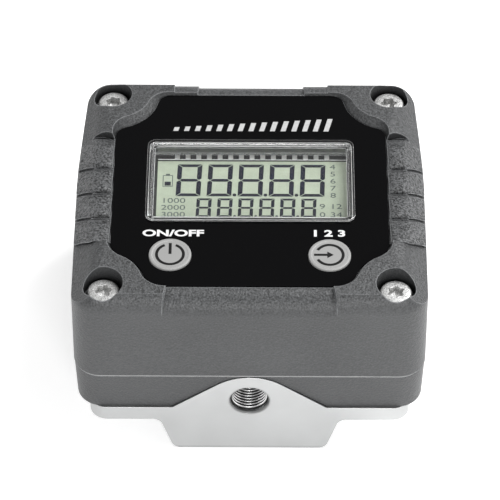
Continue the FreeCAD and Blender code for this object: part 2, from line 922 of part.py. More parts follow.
def tact_switches():
    """Two square switches, each with a bore for its plunger."""
    switches = []
    half = switch_size / 2
    for x in (-button_x, button_x):
        body = box(x - half, x + half, button_y - half, button_y + half,
                   board_top, board_top + switch_height)
        well = cylinder(x, button_y, board_top + switch_floor, board_top + switch_height,
                        plunger_radius + plunger_gap)
        switches.append(body.cut(well))
    return Part.makeCompound(switches)


def circuit_board():
    points = []
    for sx, sy in ((-1, -1), (1, -1), (1, 1), (-1, 1)):
        near = (sx * (board_half_width - board_corner_cut), sy * board_half_depth)
        far = (sx * board_half_width, sy * (board_half_depth - board_corner_cut))
        points.extend([far, near] if sx * sy > 0 else [near, far])
    wire = rounded_polygon(points, [board_corner_radius] * len(points), plan(board_height))
    board = prism(wire, vec(0, 0, board_thickness))
    for x, y in at_corners(post_x, post_y):
        board = board.cut(cylinder(x, y, board_height, board_top,
                                   board_screw_radius + board_screw_hole_gap))
    return board


def board_screws():
    """Screws that hold the board up against the posts of the housing."""
    screws = []
    for x, y in at_corners(post_x, post_y):
        head = cylinder(x, y, board_height - board_screw_head_height, board_height,
                        board_screw_head_radius)
        shank = cylinder(x, y, board_height,
                         board_top + board_screw_length - board_screw_head_height / 2,
                         board_screw_radius)
        screws.append(head.fuse(shank))
    return Part.makeCompound(screws)


def board_chips():
    """Controller and two smaller parts between the switches."""
    chips = []
    middle_y = button_y - chip_shift
    for x, size in ((0, button_x / 2), (-button_x / 2, button_x / 4), (button_x / 2, button_x / 4)):
        chips.append(box(x - size / 2, x + size / 2, middle_y - size / 2, middle_y + size / 2,
                         board_top, board_top + chip_height))
    return Part.makeCompound(chips)


def sensor_board():
    middle_y = magnet_circle
    half_width = gear_x + sensor_end
    return box(-half_width, half_width, middle_y - sensor_depth / 2,
               middle_y + sensor_depth / 2, cover_top, cover_top + sensor_thickness)


def reed_switches():
    """Two glass reeds over the path of the gear magnets."""
    z = cover_top + sensor_thickness + reed_radius
    reeds = []
    for x in (-gear_x, gear_x):
        reeds.append(Part.makeCylinder(reed_radius, reed_length,
                                       vec(x - reed_length / 2, magnet_circle, z),
                                       vec(1, 0, 0)))
    return Part.makeCompound(reeds)


def battery_tray():
    """Inner lid that stands on the lower frame and carries the two cells."""
    inset = wall + tray_gap
    top = tray_top
    bottom = parting_height - parting_gap
    tray = casing_block(inset, bottom, top)
    tray = tray.cut(casing_block(inset + tray_skirt, bottom, tray_floor))
    for x, y in at_corners(screw_x, screw_y):
        tray = tray.cut(cylinder(x, y, bottom, top, column_radius + tray_gap))
    half_length = bay_half_length()
    half_width = cell_spacing / 2 + cell_radius + cell_gap
    outer = box(-half_length - cell_wall_thickness, half_length + cell_wall_thickness,
                cell_middle_y - half_width - cell_wall_thickness,
                cell_middle_y + half_width + cell_wall_thickness,
                tray_floor, top + cell_wall_height)
    bay = box(-half_length, half_length, cell_middle_y - half_width,
              cell_middle_y + half_width, top, top + cell_wall_height)
    return tray.fuse(outer.cut(bay).cut(box(-width, width, -depth, depth,
                                            bottom, tray_floor))).removeSplitter()


def bay_half_length():
    inner = cell_length + cell_tip_length + spring_length + 2 * contact_thickness
    return inner / 2


def cell_places():
    """Middle of each cell and the way its raised end points."""
    return [(cell_middle_y - cell_spacing / 2, 1), (cell_middle_y + cell_spacing / 2, -1)]


def cell_height():
    return tray_top + cell_gap + cell_radius


def battery_cells():
    cells = []
    half = bay_half_length() - contact_thickness
    for y, way in cell_places():
        tip = vec(way * half, y, cell_height())
        shoulder = tip - vec(way * cell_tip_length, 0, 0)
        can = Part.makeCylinder(cell_radius, cell_length, shoulder, vec(-way, 0, 0))
        nub = Part.makeCylinder(cell_tip_radius, cell_tip_length, tip, vec(-way, 0, 0))
        cells.append(can.fuse(nub))
    return Part.makeCompound(cells)


def battery_contacts():
    """Flat contact plates at both ends of the bay."""
    inner = bay_half_length() - contact_thickness
    top = tray_top
    half_width = cell_spacing / 2 + cell_radius * 0.8
    plates = []
    for way in (-1, 1):
        near = way * inner
        far = way * (inner + contact_thickness)
        plates.append(box(min(near, far), max(near, far), cell_middle_y - half_width,
                          cell_middle_y + half_width, top, cell_height() + cell_radius * 0.75))
    return Part.makeCompound(plates)


def battery_springs():
    """Bent strips that press each cell's flat end away from its contact plate."""
    strip = spring_strip
    points = [
        (0, -spring_half_height),
        (strip, -spring_half_height),
        (spring_length, 0),
        (spring_lift + strip, spring_half_height),
        (spring_lift, spring_half_height),
        (spring_length - strip * 1.3, 0),
    ]
    profile = rounded_polygon(points, [0, 0, 0.4, 0, 0, 0.2], front_plane(-spring_width / 2))
    spring = prism(profile, vec(0, spring_width, 0))
    inner = bay_half_length() - contact_thickness
    springs = []
    for y, way in cell_places():
        placed = spring.copy() if way > 0 else mirrored_x(spring)
        placed.translate(vec(-way * inner, y, cell_height()))
        springs.append(placed)
    return Part.makeCompound(springs)


def housing_screws():
    """Four long screws from the pads into the metal flange."""
    length = screw_seat_height - screw_tip_height
    screws = []
    for x, y in at_corners(screw_x, screw_y):
        screws.append(round_head_screw(x, y, screw_seat_height, screw_radius, length,
                                       screw_head_radius, screw_head_height, screw_head_edge))
    return Part.makeCompound(screws)


def parts_list():
    """Every piece by the name of its node."""
    return {
        "meter_body": meter_body(),
        "chamber_cover": chamber_cover(),
        "chamber_o_ring": chamber_o_ring(),
        "chamber_cover_screws": chamber_cover_screws(),
        "left_gear_axle": gear_axle(-1),
        "right_gear_axle": gear_axle(1),
        "left_oval_gear": oval_gear(-1, 0),
        "right_oval_gear": oval_gear(1, 90),
        "left_gear_magnets": gear_magnets(-1, 0),
        "right_gear_magnets": gear_magnets(1, 90),
        "lower_housing": lower_housing(),
        "housing_gasket": housing_gasket(),
        "upper_housing": upper_housing(),
        "fascia": fascia(),
        "window_lens": window_lens(),
        "display_glass": display_glass(),
        "display_backing": display_backing(),
        "display_pins": display_pins(),
        "display_frame": display_frame(),
        "power_button": push_button(-1),
        "select_button": push_button(1),
        "power_switch_plunger": switch_plunger(-1),
        "select_switch_plunger": switch_plunger(1),
        "tact_switches": tact_switches(),
        "circuit_board": circuit_board(),
        "board_screws": board_screws(),
        "board_chips": board_chips(),
        "sensor_board": sensor_board(),
        "reed_switches": reed_switches(),
        "battery_tray": battery_tray(),
        "battery_cells": battery_cells(),
        "battery_contacts": battery_contacts(),
        "battery_springs": battery_springs(),
        "housing_screws": housing_screws(),
    }


os.makedirs("parts", exist_ok=True)
for name, shape in parts_list().items():
    shape.exportStep("parts/" + name + ".step")
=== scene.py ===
"""Looks of an oval gear flow meter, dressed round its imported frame.

Metres throughout: X to the right, Y to the back, Z up, with the origin under the foot.
"""

import json
import logging
import math
from abc import ABC, abstractmethod
from dataclasses import dataclass
from enum import Enum
from typing import Callable, Sequence

import bmesh
import bpy
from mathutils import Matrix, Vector
from mathutils.bvhtree import BVHTree


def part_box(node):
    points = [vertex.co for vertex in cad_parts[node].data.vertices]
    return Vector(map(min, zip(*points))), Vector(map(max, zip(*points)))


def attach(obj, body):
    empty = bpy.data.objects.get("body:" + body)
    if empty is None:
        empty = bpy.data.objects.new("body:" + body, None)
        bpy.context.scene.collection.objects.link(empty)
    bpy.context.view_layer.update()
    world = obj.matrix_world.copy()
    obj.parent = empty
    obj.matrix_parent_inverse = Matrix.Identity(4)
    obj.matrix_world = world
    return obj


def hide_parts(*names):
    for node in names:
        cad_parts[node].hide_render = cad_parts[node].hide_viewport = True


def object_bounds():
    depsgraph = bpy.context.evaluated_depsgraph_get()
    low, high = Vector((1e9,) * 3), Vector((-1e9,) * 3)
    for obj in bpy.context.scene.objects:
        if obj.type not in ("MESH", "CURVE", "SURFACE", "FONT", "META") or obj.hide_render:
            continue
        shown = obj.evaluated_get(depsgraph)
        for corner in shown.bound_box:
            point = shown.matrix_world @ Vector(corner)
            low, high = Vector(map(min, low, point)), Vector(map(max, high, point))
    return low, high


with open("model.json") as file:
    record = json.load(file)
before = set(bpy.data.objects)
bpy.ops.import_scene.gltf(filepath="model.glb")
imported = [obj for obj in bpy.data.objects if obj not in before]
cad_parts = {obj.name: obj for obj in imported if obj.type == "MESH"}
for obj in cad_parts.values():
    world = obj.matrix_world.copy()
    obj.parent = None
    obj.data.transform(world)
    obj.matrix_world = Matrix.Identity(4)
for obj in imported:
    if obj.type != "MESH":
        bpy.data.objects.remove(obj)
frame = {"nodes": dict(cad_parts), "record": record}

LOG = logging.getLogger("flow_meter")
MM = 0.001
BODY = "meter"
CAD_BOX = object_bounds()

Colour = tuple[float, float, float]
Point = tuple[float, float]
Place = tuple[float, float, float]

# Height of the line through both ports.
BORE_HEIGHT = 18.8 * MM

# Points nearer to each other than this are one.
MERGE_DISTANCE = 1e-7

WHITE = (1.0, 1.0, 1.0, 1.0)

# Rays that a recess is probed with at each point, for the painted shade in recesses.
HOLLOW_RAYS = 8

# Numbers of the sockets on Blender's colour mix node.
MIX_SHARE, MIX_FIRST, MIX_SECOND, MIX_RESULT = 0, 6, 7, 2

# How far a rounded normal has turned where an edge's painted highlight starts and where it is
# full.
EDGE_START, EDGE_FULL = 0.01, 0.16

# What the letters' capitals measure of the size that Blender gives its built-in lettering.
CAPITAL_SHARE = 0.72


def srgb(red: float, green: float, blue: float) -> Colour:
    """Turn a screen colour of 0 to 255 into the linear colour a shader takes.

    Args:
        red: Red of 0 to 255.
        green: Green of 0 to 255.
        blue: Blue of 0 to 255.

    Returns:
        The same colour in linear light.
    """
    def linear(value: float) -> float:
        """Undo the screen's curve for one channel."""
        share = value / 255
        return share / 12.92 if share <= 0.04045 else ((share + 0.055) / 1.055) ** 2.4
    return (linear(red), linear(green), linear(blue))


def shade(colour: Colour, factor: float) -> Colour:
    """Make a colour lighter or darker.

    Args:
        colour: The colour to change.
        factor: Above 1 is lighter, below 1 darker.

    Returns:
        The changed colour, held to 1.
    """
    return tuple(min(channel * factor, 1.0) for channel in colour)


class Shader:
    """A material's node tree with short ways to add and join nodes."""

    def __init__(self, name: str) -> None:
        """Start an empty tree with a Principled shader on its output.

        Args:
            name: The material's name.
        """
        self.material = bpy.data.materials.new(name)
        self.material.use_nodes = True
        self.nodes = self.material.node_tree.nodes
        self.links = self.material.node_tree.links
        self.principled = self.nodes["Principled BSDF"]
        self.output = self.nodes["Material Output"]

    def add(self, kind: str, **inputs: object) -> bpy.types.Node:
        """Add a node and set or join its inputs.

        Args:
            kind: Blender's name of the node type.
            **inputs: Socket names, with spaces as underscores, and their value or source.

        Returns:
            The new node.
        """
        node = self.nodes.new(kind)
        for key, value in inputs.items():
            self.join(node, key.replace("_", " "), value)
        return node

    def join(self, node: bpy.types.Node, socket: str | int, value: object) -> None:
        """Set one input to a value, or link it from another node's output.

        Args:
            node: The node whose input is set.
            socket: The input's name or number.
            value: A plain value, or the output socket to link from.
        """
        if isinstance(value, bpy.types.NodeSocket):
            self.links.new(value, node.inputs[socket])
        else:
            node.inputs[socket].default_value = value

    def surface(self, **inputs: object) -> None:
        """Set or join inputs of the Principled shader.

        Args:
            **inputs: Socket names, with spaces as underscores, and their value or source.
        """
        for key, value in inputs.items():
            self.join(self.principled, key.replace("_", " "), value)

    def place(self) -> bpy.types.NodeSocket:
        """Give the point on the object, in metres."""
        return self.add("ShaderNodeTexCoord").outputs["Object"]

    def noise(self, size: float, detail: float = 3.0, rough: float = 0.5) -> bpy.types.NodeSocket:
        """Add fractal noise.

        Args:
            size: Width of one blot in metres.
            detail: Number of finer layers.
            rough: Share of the finer layers.

        Returns:
            The noise value of about 0 to 1.
        """
        node = self.add("ShaderNodeTexNoise", Vector=self.place(), Scale=1 / size,
                        Detail=detail, Roughness=rough)
        return node.outputs["Fac"]

    def pebbles(self, size: float, smooth: float = 0.6) -> bpy.types.NodeSocket:
        """Add rounded cells, as in a leather or spark-eroded grain.

        Args:
            size: Width of one cell in metres.
            smooth: How softly the cells run into each other.

        Returns:
            The distance to the cell's middle.
        """
        node = self.add("ShaderNodeTexVoronoi", Vector=self.place(), Scale=1 / size)
        node.feature = "SMOOTH_F1"
        self.join(node, "Smoothness", smooth)
        return node.outputs["Distance"]

    def blend(self, share: bpy.types.NodeSocket, low: Colour, high: Colour,
              start: float = 0.3, end: float = 0.7) -> bpy.types.NodeSocket:
        """Blend two colours by a value.

        Args:
            share: The value that picks the colour.
            low: Colour at the start.
            high: Colour at the end.
            start: Value at which the blend starts.
            end: Value at which the blend ends.

        Returns:
            The blended colour.
        """
        node = self.add("ShaderNodeValToRGB", Fac=share)
        first, last = node.color_ramp.elements
        first.position, last.position = start, end
        first.color, last.color = (*low, 1.0), (*high, 1.0)
        return node.outputs["Color"]

    def varied(self, share: bpy.types.NodeSocket, colour: Colour, contrast: float,
               start: float = 0.3, end: float = 0.7) -> bpy.types.NodeSocket:
        """Let a colour swing about its mean by a value.

        Args:
            share: The value that picks the tone.
            colour: The mean colour.
            contrast: Share by which it gets darker and lighter.
            start: Value at which the blend starts.
            end: Value at which the blend ends.

        Returns:
            The varied colour.
        """
        return self.blend(share, shade(colour, 1 - contrast), shade(colour, 1 + contrast),
                          start, end)

    def ramp(self, value: bpy.types.NodeSocket, start: float, end: float
             ) -> bpy.types.NodeSocket:
        """Let a share rise from 0 to 1 while a value goes from start to end.

        Args:
            value: The value that is followed.
            start: Value at which the share is 0.
            end: Value at which the share is 1.

        Returns:
            The share.
        """
        node = self.add("ShaderNodeMapRange", Value=value, From_Min=start, From_Max=end)
        return node.outputs["Result"]

    def remap(self, value: bpy.types.NodeSocket, low: float, high: float) -> bpy.types.NodeSocket:
        """Stretch a value of 0 to 1 over another range.

        Args:
            value: The value to stretch.
            low: Result at 0.
            high: Result at 1.

        Returns:
            The stretched value.
        """
        node = self.add("ShaderNodeMapRange", Value=value, To_Min=low, To_Max=high)
        return node.outputs["Result"]

    def math(self, kind: str, first: object, second: object = 0.0) -> bpy.types.NodeSocket:
        """Add one sum.

        Args:
            kind: Blender's name of the sum, such as MULTIPLY.
            first: First value, plain or from a node.
            second: Second value, plain or from a node.

        Returns:
            The result.
        """
        node = self.nodes.new("ShaderNodeMath")
        node.operation = kind
        self.join(node, 0, first)
        self.join(node, 1, second)
        return node.outputs[0]

    def tinted(self, share: bpy.types.NodeSocket, colour: object, other: object
               ) -> bpy.types.NodeSocket:
        """Mix two colours, each plain or from a node.

        Args:
            share: Share of the second colour.
            colour: The first colour.
            other: The second colour.

        Returns:
            The mixed colour.
        """
        node = self.nodes.new("ShaderNodeMix")
        node.data_type = "RGBA"
        self.join(node, MIX_SHARE, share)
        for socket, value in ((MIX_FIRST, colour), (MIX_SECOND, other)):
            linked = isinstance(value, bpy.types.NodeSocket)
            self.join(node, socket, value if linked else (*value, 1.0))
        return node.outputs[MIX_RESULT]

    def round_edges(self, radius: float) -> bpy.types.NodeSocket:
        """Give a normal that rolls over every edge, as a broken edge does.

        Args:
            radius: The edge's radius in metres.

        Returns:
            The rounded normal.
        """
        return self.add("ShaderNodeBevel", Radius=radius).outputs["Normal"]

    def edge_highlight_mask(self, radius: float) -> bpy.types.NodeSocket:
        """Give 1 on an edge and 0 on open faces, the mask of the painted edge highlights.

        Args:
            radius: How far the edge reaches in metres.

        Returns:
            The share.
        """
        flat = self.add("ShaderNodeNewGeometry").outputs["Normal"]
        dot = self.nodes.new("ShaderNodeVectorMath")
        dot.operation = "DOT_PRODUCT"
        self.join(dot, 0, flat)
        self.join(dot, 1, self.round_edges(radius))
        turned = self.math("SUBTRACT", 1.0, dot.outputs["Value"])
        return self.ramp(turned, EDGE_START, EDGE_FULL)

    def recess_shade_mask(self, reach: float) -> bpy.types.NodeSocket:
        """Give 1 deep in a recess and 0 in the open, the mask of the painted shade in recesses.

        Args:
            reach: How far a wall still counts, in metres.

        Returns:
            The share.
        """
        node = self.add("ShaderNodeAmbientOcclusion", Distance=reach)
        node.samples = HOLLOW_RAYS
        return self.math("SUBTRACT", 1.0, node.outputs["AO"])

    def paint_recess_shade(self, tint: object, reach: float, fall: float, dark: Colour
                 ) -> bpy.types.NodeSocket:
        """Paint shade on a colour deep in recesses.

        Args:
            tint: The colour in the open.
            reach: How far a wall still counts, in metres.
            fall: Power of the share; above 1 keeps shallow places light.
            dark: The painted shade's colour at the bottom of a recess.

        Returns:
            The colour with its painted shade.
        """
        deep = self.math("POWER", self.recess_shade_mask(reach), fall)
        return self.tinted(deep, tint, dark)

    def upness(self, low: float, high: float) -> bpy.types.NodeSocket:
        """Give a low share on upright faces and a high one on level faces.

        Args:
            low: Share on upright faces.
            high: Share on level faces.

        Returns:
            The share.
        """
        normal = self.add("ShaderNodeNewGeometry").outputs["Normal"]
        parts = self.add("ShaderNodeSeparateXYZ", Vector=normal)
        return self.remap(parts.outputs["Z"], low, high)

    def bump(self, height: bpy.types.NodeSocket, depth: float, strength: float = 1.0,
             under: bpy.types.NodeSocket | None = None) -> bpy.types.NodeSocket:
        """Turn a height into a surface normal.

        Args:
            height: The height of 0 to 1.
            depth: Real depth of the relief in metres.
            strength: Share of the relief that shows.
            under: The normal of a coarser relief under this one.

        Returns:
            The bumped normal.
        """
        node = self.add("ShaderNodeBump", Height=height, Distance=depth, Strength=strength)
        if under is not None:
            self.links.new(under, node.inputs["Normal"])
        return node.outputs["Normal"]


@dataclass(frozen=True)
class MouldedPlastic:
    """Matt moulded plastic with a pebbled grain.

    Attributes:
        name: The material's name.
        colour: Its mean colour.
        roughness: Its mean roughness.
        grain: Width of one pebble.
        relief: Depth of the grain.
        fine_relief: Depth of the fine grain over that of the pebbles.
        contrast: Share by which broad clouds are darker and lighter.
        speckle: Share by which the grain's spots are darker and lighter, 0 for none.
        spread: Half the noise range over which a spot fades.
        steep: Share of the speckle that upright faces keep.
        edge: Radius of the broken edges and of their painted highlight, 0 for sharp ones.
        edge_highlight_gain: How much lighter a broken edge is painted, a painted highlight.
        line_low: Height at which the painted highlight along the parting line starts.
        line_high: Height at which it ends, 0 for no line.
        parting_highlight_colour: The colour of that painted highlight.
        hollow: Reach of the painted shade in recesses, 0 for none.
        recess_shade_fall: Power of that painted shade.
        recess_shade_tone: Share of the colour that a recess keeps under the painted shade.
        fine: Width of the fine grain over that of a pebble.
        broad: Width of the clouds over that of a pebble.
        spot: Width of a spot over that of a pebble.
        wear: Swing of the roughness.
        sheen: Strength of the surface's shine.
    """

    name: str
    colour: Colour
    roughness: float
    grain: float
    relief: float
    fine_relief: float = 0.6
    contrast: float = 0.12
    speckle: float = 0.0
    spread: float = 0.14
    steep: float = 0.3
    edge: float = 0.0
    edge_highlight_gain: float = 1.0
    line_low: float = 0.0
    line_high: float = 0.0
    parting_highlight_colour: Colour = srgb(200, 200, 200)
    hollow: float = 0.0
    recess_shade_fall: float = 0.9
    recess_shade_tone: float = 0.05
    fine: float = 0.45
    broad: float = 40.0
    spot: float = 0.9
    wear: float = 0.07
    sheen: float = 0.42

    def parting_highlight_mask(self, shader: Shader) -> bpy.types.NodeSocket:
        """Give 1 between two heights, where a painted highlight lies along the parting edge.

        Args:
            shader: The material's node tree.

        Returns:
            The share.
        """
        parts = shader.add("ShaderNodeSeparateXYZ", Vector=shader.place())
        above = shader.math("GREATER_THAN", parts.outputs["Z"], self.line_low)
        below = shader.math("LESS_THAN", parts.outputs["Z"], self.line_high)
        return shader.math("MULTIPLY", above, below)

    def tint(self, shader: Shader) -> bpy.types.NodeSocket:
        """Give the plastic's colour with its clouds and spots, painted highlights on edges and the
        parting line, and painted shade in recesses.

        Args:
            shader: The material's node tree.

        Returns:
            The colour.
        """
        broad = shader.noise(self.grain * self.broad, detail=2.0)
        tint = shader.varied(broad, self.colour, self.contrast)
        if self.speckle > 0:
            spots = shader.noise(self.grain * self.spot, detail=5.0, rough=0.8)
            grainy = shader.varied(spots, self.colour, self.speckle,
                                   0.5 - self.spread, 0.5 + self.spread)
            tint = shader.tinted(shader.upness(self.steep, 1.0), tint, grainy)
        # Painted shade: the colour darkens deep in recesses.
        if self.hollow > 0:
            tint = shader.paint_recess_shade(tint, self.hollow, self.recess_shade_fall,
                                   shade(self.colour, self.recess_shade_tone))
        # Painted highlight: broken edges are lighter.
        if self.edge > 0:
            tint = shader.tinted(shader.edge_highlight_mask(self.edge), tint,
                                 shade(self.colour, self.edge_highlight_gain))
        # Painted highlight along the parting line.
        if self.line_high > 0:
            tint = shader.tinted(self.parting_highlight_mask(shader), tint, self.parting_highlight_colour)
        return tint

    def build(self) -> bpy.types.Material:
        """Make the material.

        Returns:
            The material.
        """
        shader = Shader(self.name)
        cells = shader.pebbles(self.grain)
        fine = shader.noise(self.grain * self.fine, detail=4.0, rough=0.6)
        under = shader.round_edges(self.edge) if self.edge > 0 else None
        coarse = shader.bump(cells, self.relief, strength=0.8, under=under)
        shader.surface(Base_Color=self.tint(shader), Specular_IOR_Level=self.sheen,
                       Normal=shader.bump(fine, self.relief * self.fine_relief,
                                          strength=0.7, under=coarse),
                       Roughness=shader.remap(fine, self.roughness - self.wear,
                                              self.roughness + self.wear))
        return shader.material


@dataclass(frozen=True)
class GlossOverlay:
    """Glossy printed film with a faint waviness and dust-fine roughness.

    Attributes:
        name: The material's name.
        colour: Its mean colour.
        roughness: Its roughness where it is cleanest.
        shine: Strength of its reflections.
        wave: Length of one wave in the film.
        wave_height: Height of the waves.
        dust: Width of one speck of dust.
        haze: What the dust adds to the roughness.
        dark: Share of the colour between the specks.
        light: Share of the colour on them.
    """

    name: str
    colour: Colour
    roughness: float
    shine: float = 0.5
    wave: float = 9 * MM
    wave_height: float = 0.03 * MM
    dust: float = 0.35 * MM
    haze: float = 0.08
    dark: float = 0.85
    light: float = 1.25

    def build(self) -> bpy.types.Material:
        """Make the material.

        Returns:
            The material.
        """
        shader = Shader(self.name)
        wave = shader.noise(self.wave, detail=2.0)
        dust = shader.noise(self.dust, detail=3.0, rough=0.7)
        tint = shader.blend(dust, shade(self.colour, self.dark), shade(self.colour, self.light))
        shader.surface(Base_Color=tint,
                       Normal=shader.bump(wave, self.wave_height, strength=0.5),
                       Specular_IOR_Level=self.shine,
                       Roughness=shader.remap(dust, self.roughness, self.roughness + self.haze))
        return shader.material


@dataclass(frozen=True)
class SatinMetal:
    """Machined or blasted metal with a fine, even tooth.

    Attributes:
        name: The material's name.
        colour: Its mean colour.
        roughness: Its mean roughness.
        tooth: Width of one grain of the tooth.
        relief: Depth of the tooth.
        metallic: 1 for bare metal, less for a dull skin.
        edge: Radius of the broken edges and of their painted highlight, 0 for sharp ones.
        edge_highlight_gain: How much lighter a broken edge is painted, a painted highlight.
        hollow: Reach of the painted shade in recesses, 0 for none.
        recess_shade_fall: Power of that painted shade.
        recess_shade_tone: Share of the colour that a recess keeps under the painted shade.
        root: Radii about the bore's line between which a painted shade darkens the colour, if it
            does.
        bore_shade_tone: Share of the colour that the far radius keeps under that painted shade.
        bore_height: Height of the bore's line.
        cloud: Width of the faint clouds.
        contrast: Share by which the clouds are darker and lighter.
        polish: What the roughness loses on the tooth's crests.
        wear: What it gains between them.
    """

    name: str
    colour: Colour
    roughness: float
    tooth: float
    relief: float
    metallic: float = 1.0
    edge: float = 0.0
    edge_highlight_gain: float = 1.5
    hollow: float = 0.0
    recess_shade_fall: float = 1.5
    recess_shade_tone: float = 0.03
    root: Point | None = None
    bore_shade_tone: float = 0.02
    bore_height: float = BORE_HEIGHT
    cloud: float = 14 * MM
    contrast: float = 0.05
    polish: float = 0.06
    wear: float = 0.08

    def bore_shade_mask(self, shader: Shader, start: float, end: float) -> bpy.types.NodeSocket:
        """Give a share by the distance from the bore's line, the mask of the painted shade in the
        bore.

        Args:
            shader: The material's node tree.
            start: Radius at which the share is 0.
            end: Radius at which it is 1.

        Returns:
            The share.
        """
        parts = shader.add("ShaderNodeSeparateXYZ", Vector=shader.place())
        across = parts.outputs["X"]
        up = shader.math("SUBTRACT", parts.outputs["Z"], self.bore_height)
        square = shader.math("ADD", shader.math("MULTIPLY", up, up),
                             shader.math("MULTIPLY", across, across))
        return shader.ramp(shader.math("SQRT", square), start, end)

    def build(self) -> bpy.types.Material:
        """Make the material.

        Returns:
            The material.
        """
        shader = Shader(self.name)
        fine = shader.noise(self.tooth, detail=4.0, rough=0.65)
        tint = shader.varied(shader.noise(self.cloud), self.colour, self.contrast)
        under = None
        # Painted shade: the colour darkens deep in recesses.
        if self.hollow > 0:
            tint = shader.paint_recess_shade(tint, self.hollow, self.recess_shade_fall,
                                   shade(self.colour, self.recess_shade_tone))
        # Painted highlight: broken edges are lighter.
        if self.edge > 0:
            tint = shader.tinted(shader.edge_highlight_mask(self.edge), tint,
                                 shade(self.colour, self.edge_highlight_gain))
            under = shader.round_edges(self.edge)
        # Painted shade in the bore, by the distance from its line.
        if self.root is not None:
            tint = shader.tinted(self.bore_shade_mask(shader, *self.root), tint,
                                 shade(self.colour, self.bore_shade_tone))
        shader.surface(Base_Color=tint, Metallic=self.metallic,
                       Normal=shader.bump(fine, self.relief, strength=0.6, under=under),
                       Roughness=shader.remap(fine, self.roughness - self.polish,
                                              self.roughness + self.wear))
        return shader.material


@dataclass(frozen=True)
class CastMetal:
    """Plated metal with the pitted skin of a cold-formed screw head.

    Attributes:
        name: The material's name.
        colour: Its mean colour.
        roughness: Its mean roughness.
        pit: Width of one pit.
        relief: Depth of the pits.
        fine: Width of the fine grain over that of a pit.
        fine_relief: Depth of the fine grain over that of a pit.
        edge: Radius of the broken edges and of their painted highlight.
        hollow: Reach of the painted shade in recesses.
        metallic: 1 for bare metal, less for a dull skin.
        polish: What the roughness loses on the skin.
        wear: What it gains in the pits.
        dark: Share of the colour in the pits.
        light: Share of the colour on the skin between them.
        edge_highlight_gain: How much lighter a broken edge is painted, a painted highlight.
        recess_shade_fall: Power of the painted shade in recesses.
        recess_shade_tone: Share of the colour that a recess keeps under the painted shade.
    """

    name: str
    colour: Colour
    roughness: float
    pit: float
    relief: float
    edge: float
    hollow: float
    metallic: float = 0.7
    fine: float = 0.5
    fine_relief: float = 0.8
    polish: float = 0.1
    wear: float = 0.15
    dark: float = 0.35
    light: float = 1.3
    edge_highlight_gain: float = 2.0
    recess_shade_fall: float = 1.2
    recess_shade_tone: float = 0.02

    def build(self) -> bpy.types.Material:
        """Make the material.

        Returns:
            The material.
        """
        shader = Shader(self.name)
        fine = shader.noise(self.pit * self.fine, detail=5.0, rough=0.7)
        tint = shader.blend(fine, shade(self.colour, self.dark), shade(self.colour, self.light),
                            start=0.36, end=0.58)
        # Painted shade in the recess.
        tint = shader.paint_recess_shade(tint, self.hollow, self.recess_shade_fall,
                               shade(self.colour, self.recess_shade_tone))
        # Painted highlight: broken edges are lighter.
        tint = shader.tinted(shader.edge_highlight_mask(self.edge), tint,
                             shade(self.colour, self.edge_highlight_gain))
        coarse = shader.bump(shader.pebbles(self.pit), self.relief, strength=0.9)
        shader.surface(Base_Color=tint, Metallic=self.metallic,
                       Normal=shader.bump(fine, self.relief * self.fine_relief,
                                          strength=0.9, under=coarse),
                       Roughness=shader.remap(fine, self.roughness - self.polish,
                                              self.roughness + self.wear))
        return shader.material


@dataclass(frozen=True)
class ClearPlastic:
    """Clear moulded plastic that lets light through to what lies below.

    Attributes:
        name: The material's name.
        colour: What it leaves of the light.
        roughness: Its roughness where it is cleanest.
        haze: What a smear adds to the roughness.
        shine: Strength of its reflections.
        edge: Radius of the painted highlight lines on edges that face up, 0 for none.
        edge_highlight_colour: Colour of these painted highlight lines.
        edge_fall: Power that keeps the lines off steep faces.
        smear: Width of one smear.
        index: Its refractive index.
    """

    name: str
    colour: Colour
    roughness: float
    haze: float
    shine: float = 0.5
    edge: float = 0.0
    edge_highlight_colour: Colour = (0.8, 0.8, 0.8)
    edge_fall: float = 4.0
    smear: float = 7 * MM
    index: float = 1.49

    def mixed(self, shader: Shader, share: bpy.types.NodeSocket, body: bpy.types.NodeSocket,
              other: bpy.types.NodeSocket) -> bpy.types.NodeSocket:
        """Mix two surfaces.

        Args:
            shader: The material's node tree.
            share: Share of the second surface.
            body: The first surface.
            other: The second surface.

        Returns:
            The mixed surface.
        """
        mix = shader.nodes.new("ShaderNodeMixShader")
        for socket, source in enumerate((share, body, other)):
            shader.join(mix, socket, source)
        return mix.outputs[0]

    def build(self) -> bpy.types.Material:
        """Make the material; its shadow is that of a bare sheet of its colour.

        Returns:
            The material.
        """
        shader = Shader(self.name)
        smear = shader.noise(self.smear)
        shader.surface(Base_Color=(*self.colour, 1.0), Transmission_Weight=1.0, IOR=self.index,
                       Specular_IOR_Level=self.shine,
                       Roughness=shader.remap(smear, self.roughness, self.roughness + self.haze))
        body = shader.principled.outputs[0]
        # Painted highlight: a matt light colour on edges that face up stands in for the rim's
        # reflections.
        if self.edge > 0:
            matt = shader.add("ShaderNodeBsdfDiffuse", Color=(*self.edge_highlight_colour, 1.0))
            top = shader.math("POWER", shader.upness(0.0, 1.0), self.edge_fall)
            lines = shader.math("MULTIPLY", shader.edge_highlight_mask(self.edge), top)
            body = self.mixed(shader, lines, body, matt.outputs[0])
        clear = shader.add("ShaderNodeBsdfTransparent", Color=(*self.colour, 1.0))
        shadow = shader.add("ShaderNodeLightPath").outputs["Is Shadow Ray"]
        shader.join(shader.output, "Surface", self.mixed(shader, shadow, body, clear.outputs[0]))
        return shader.material


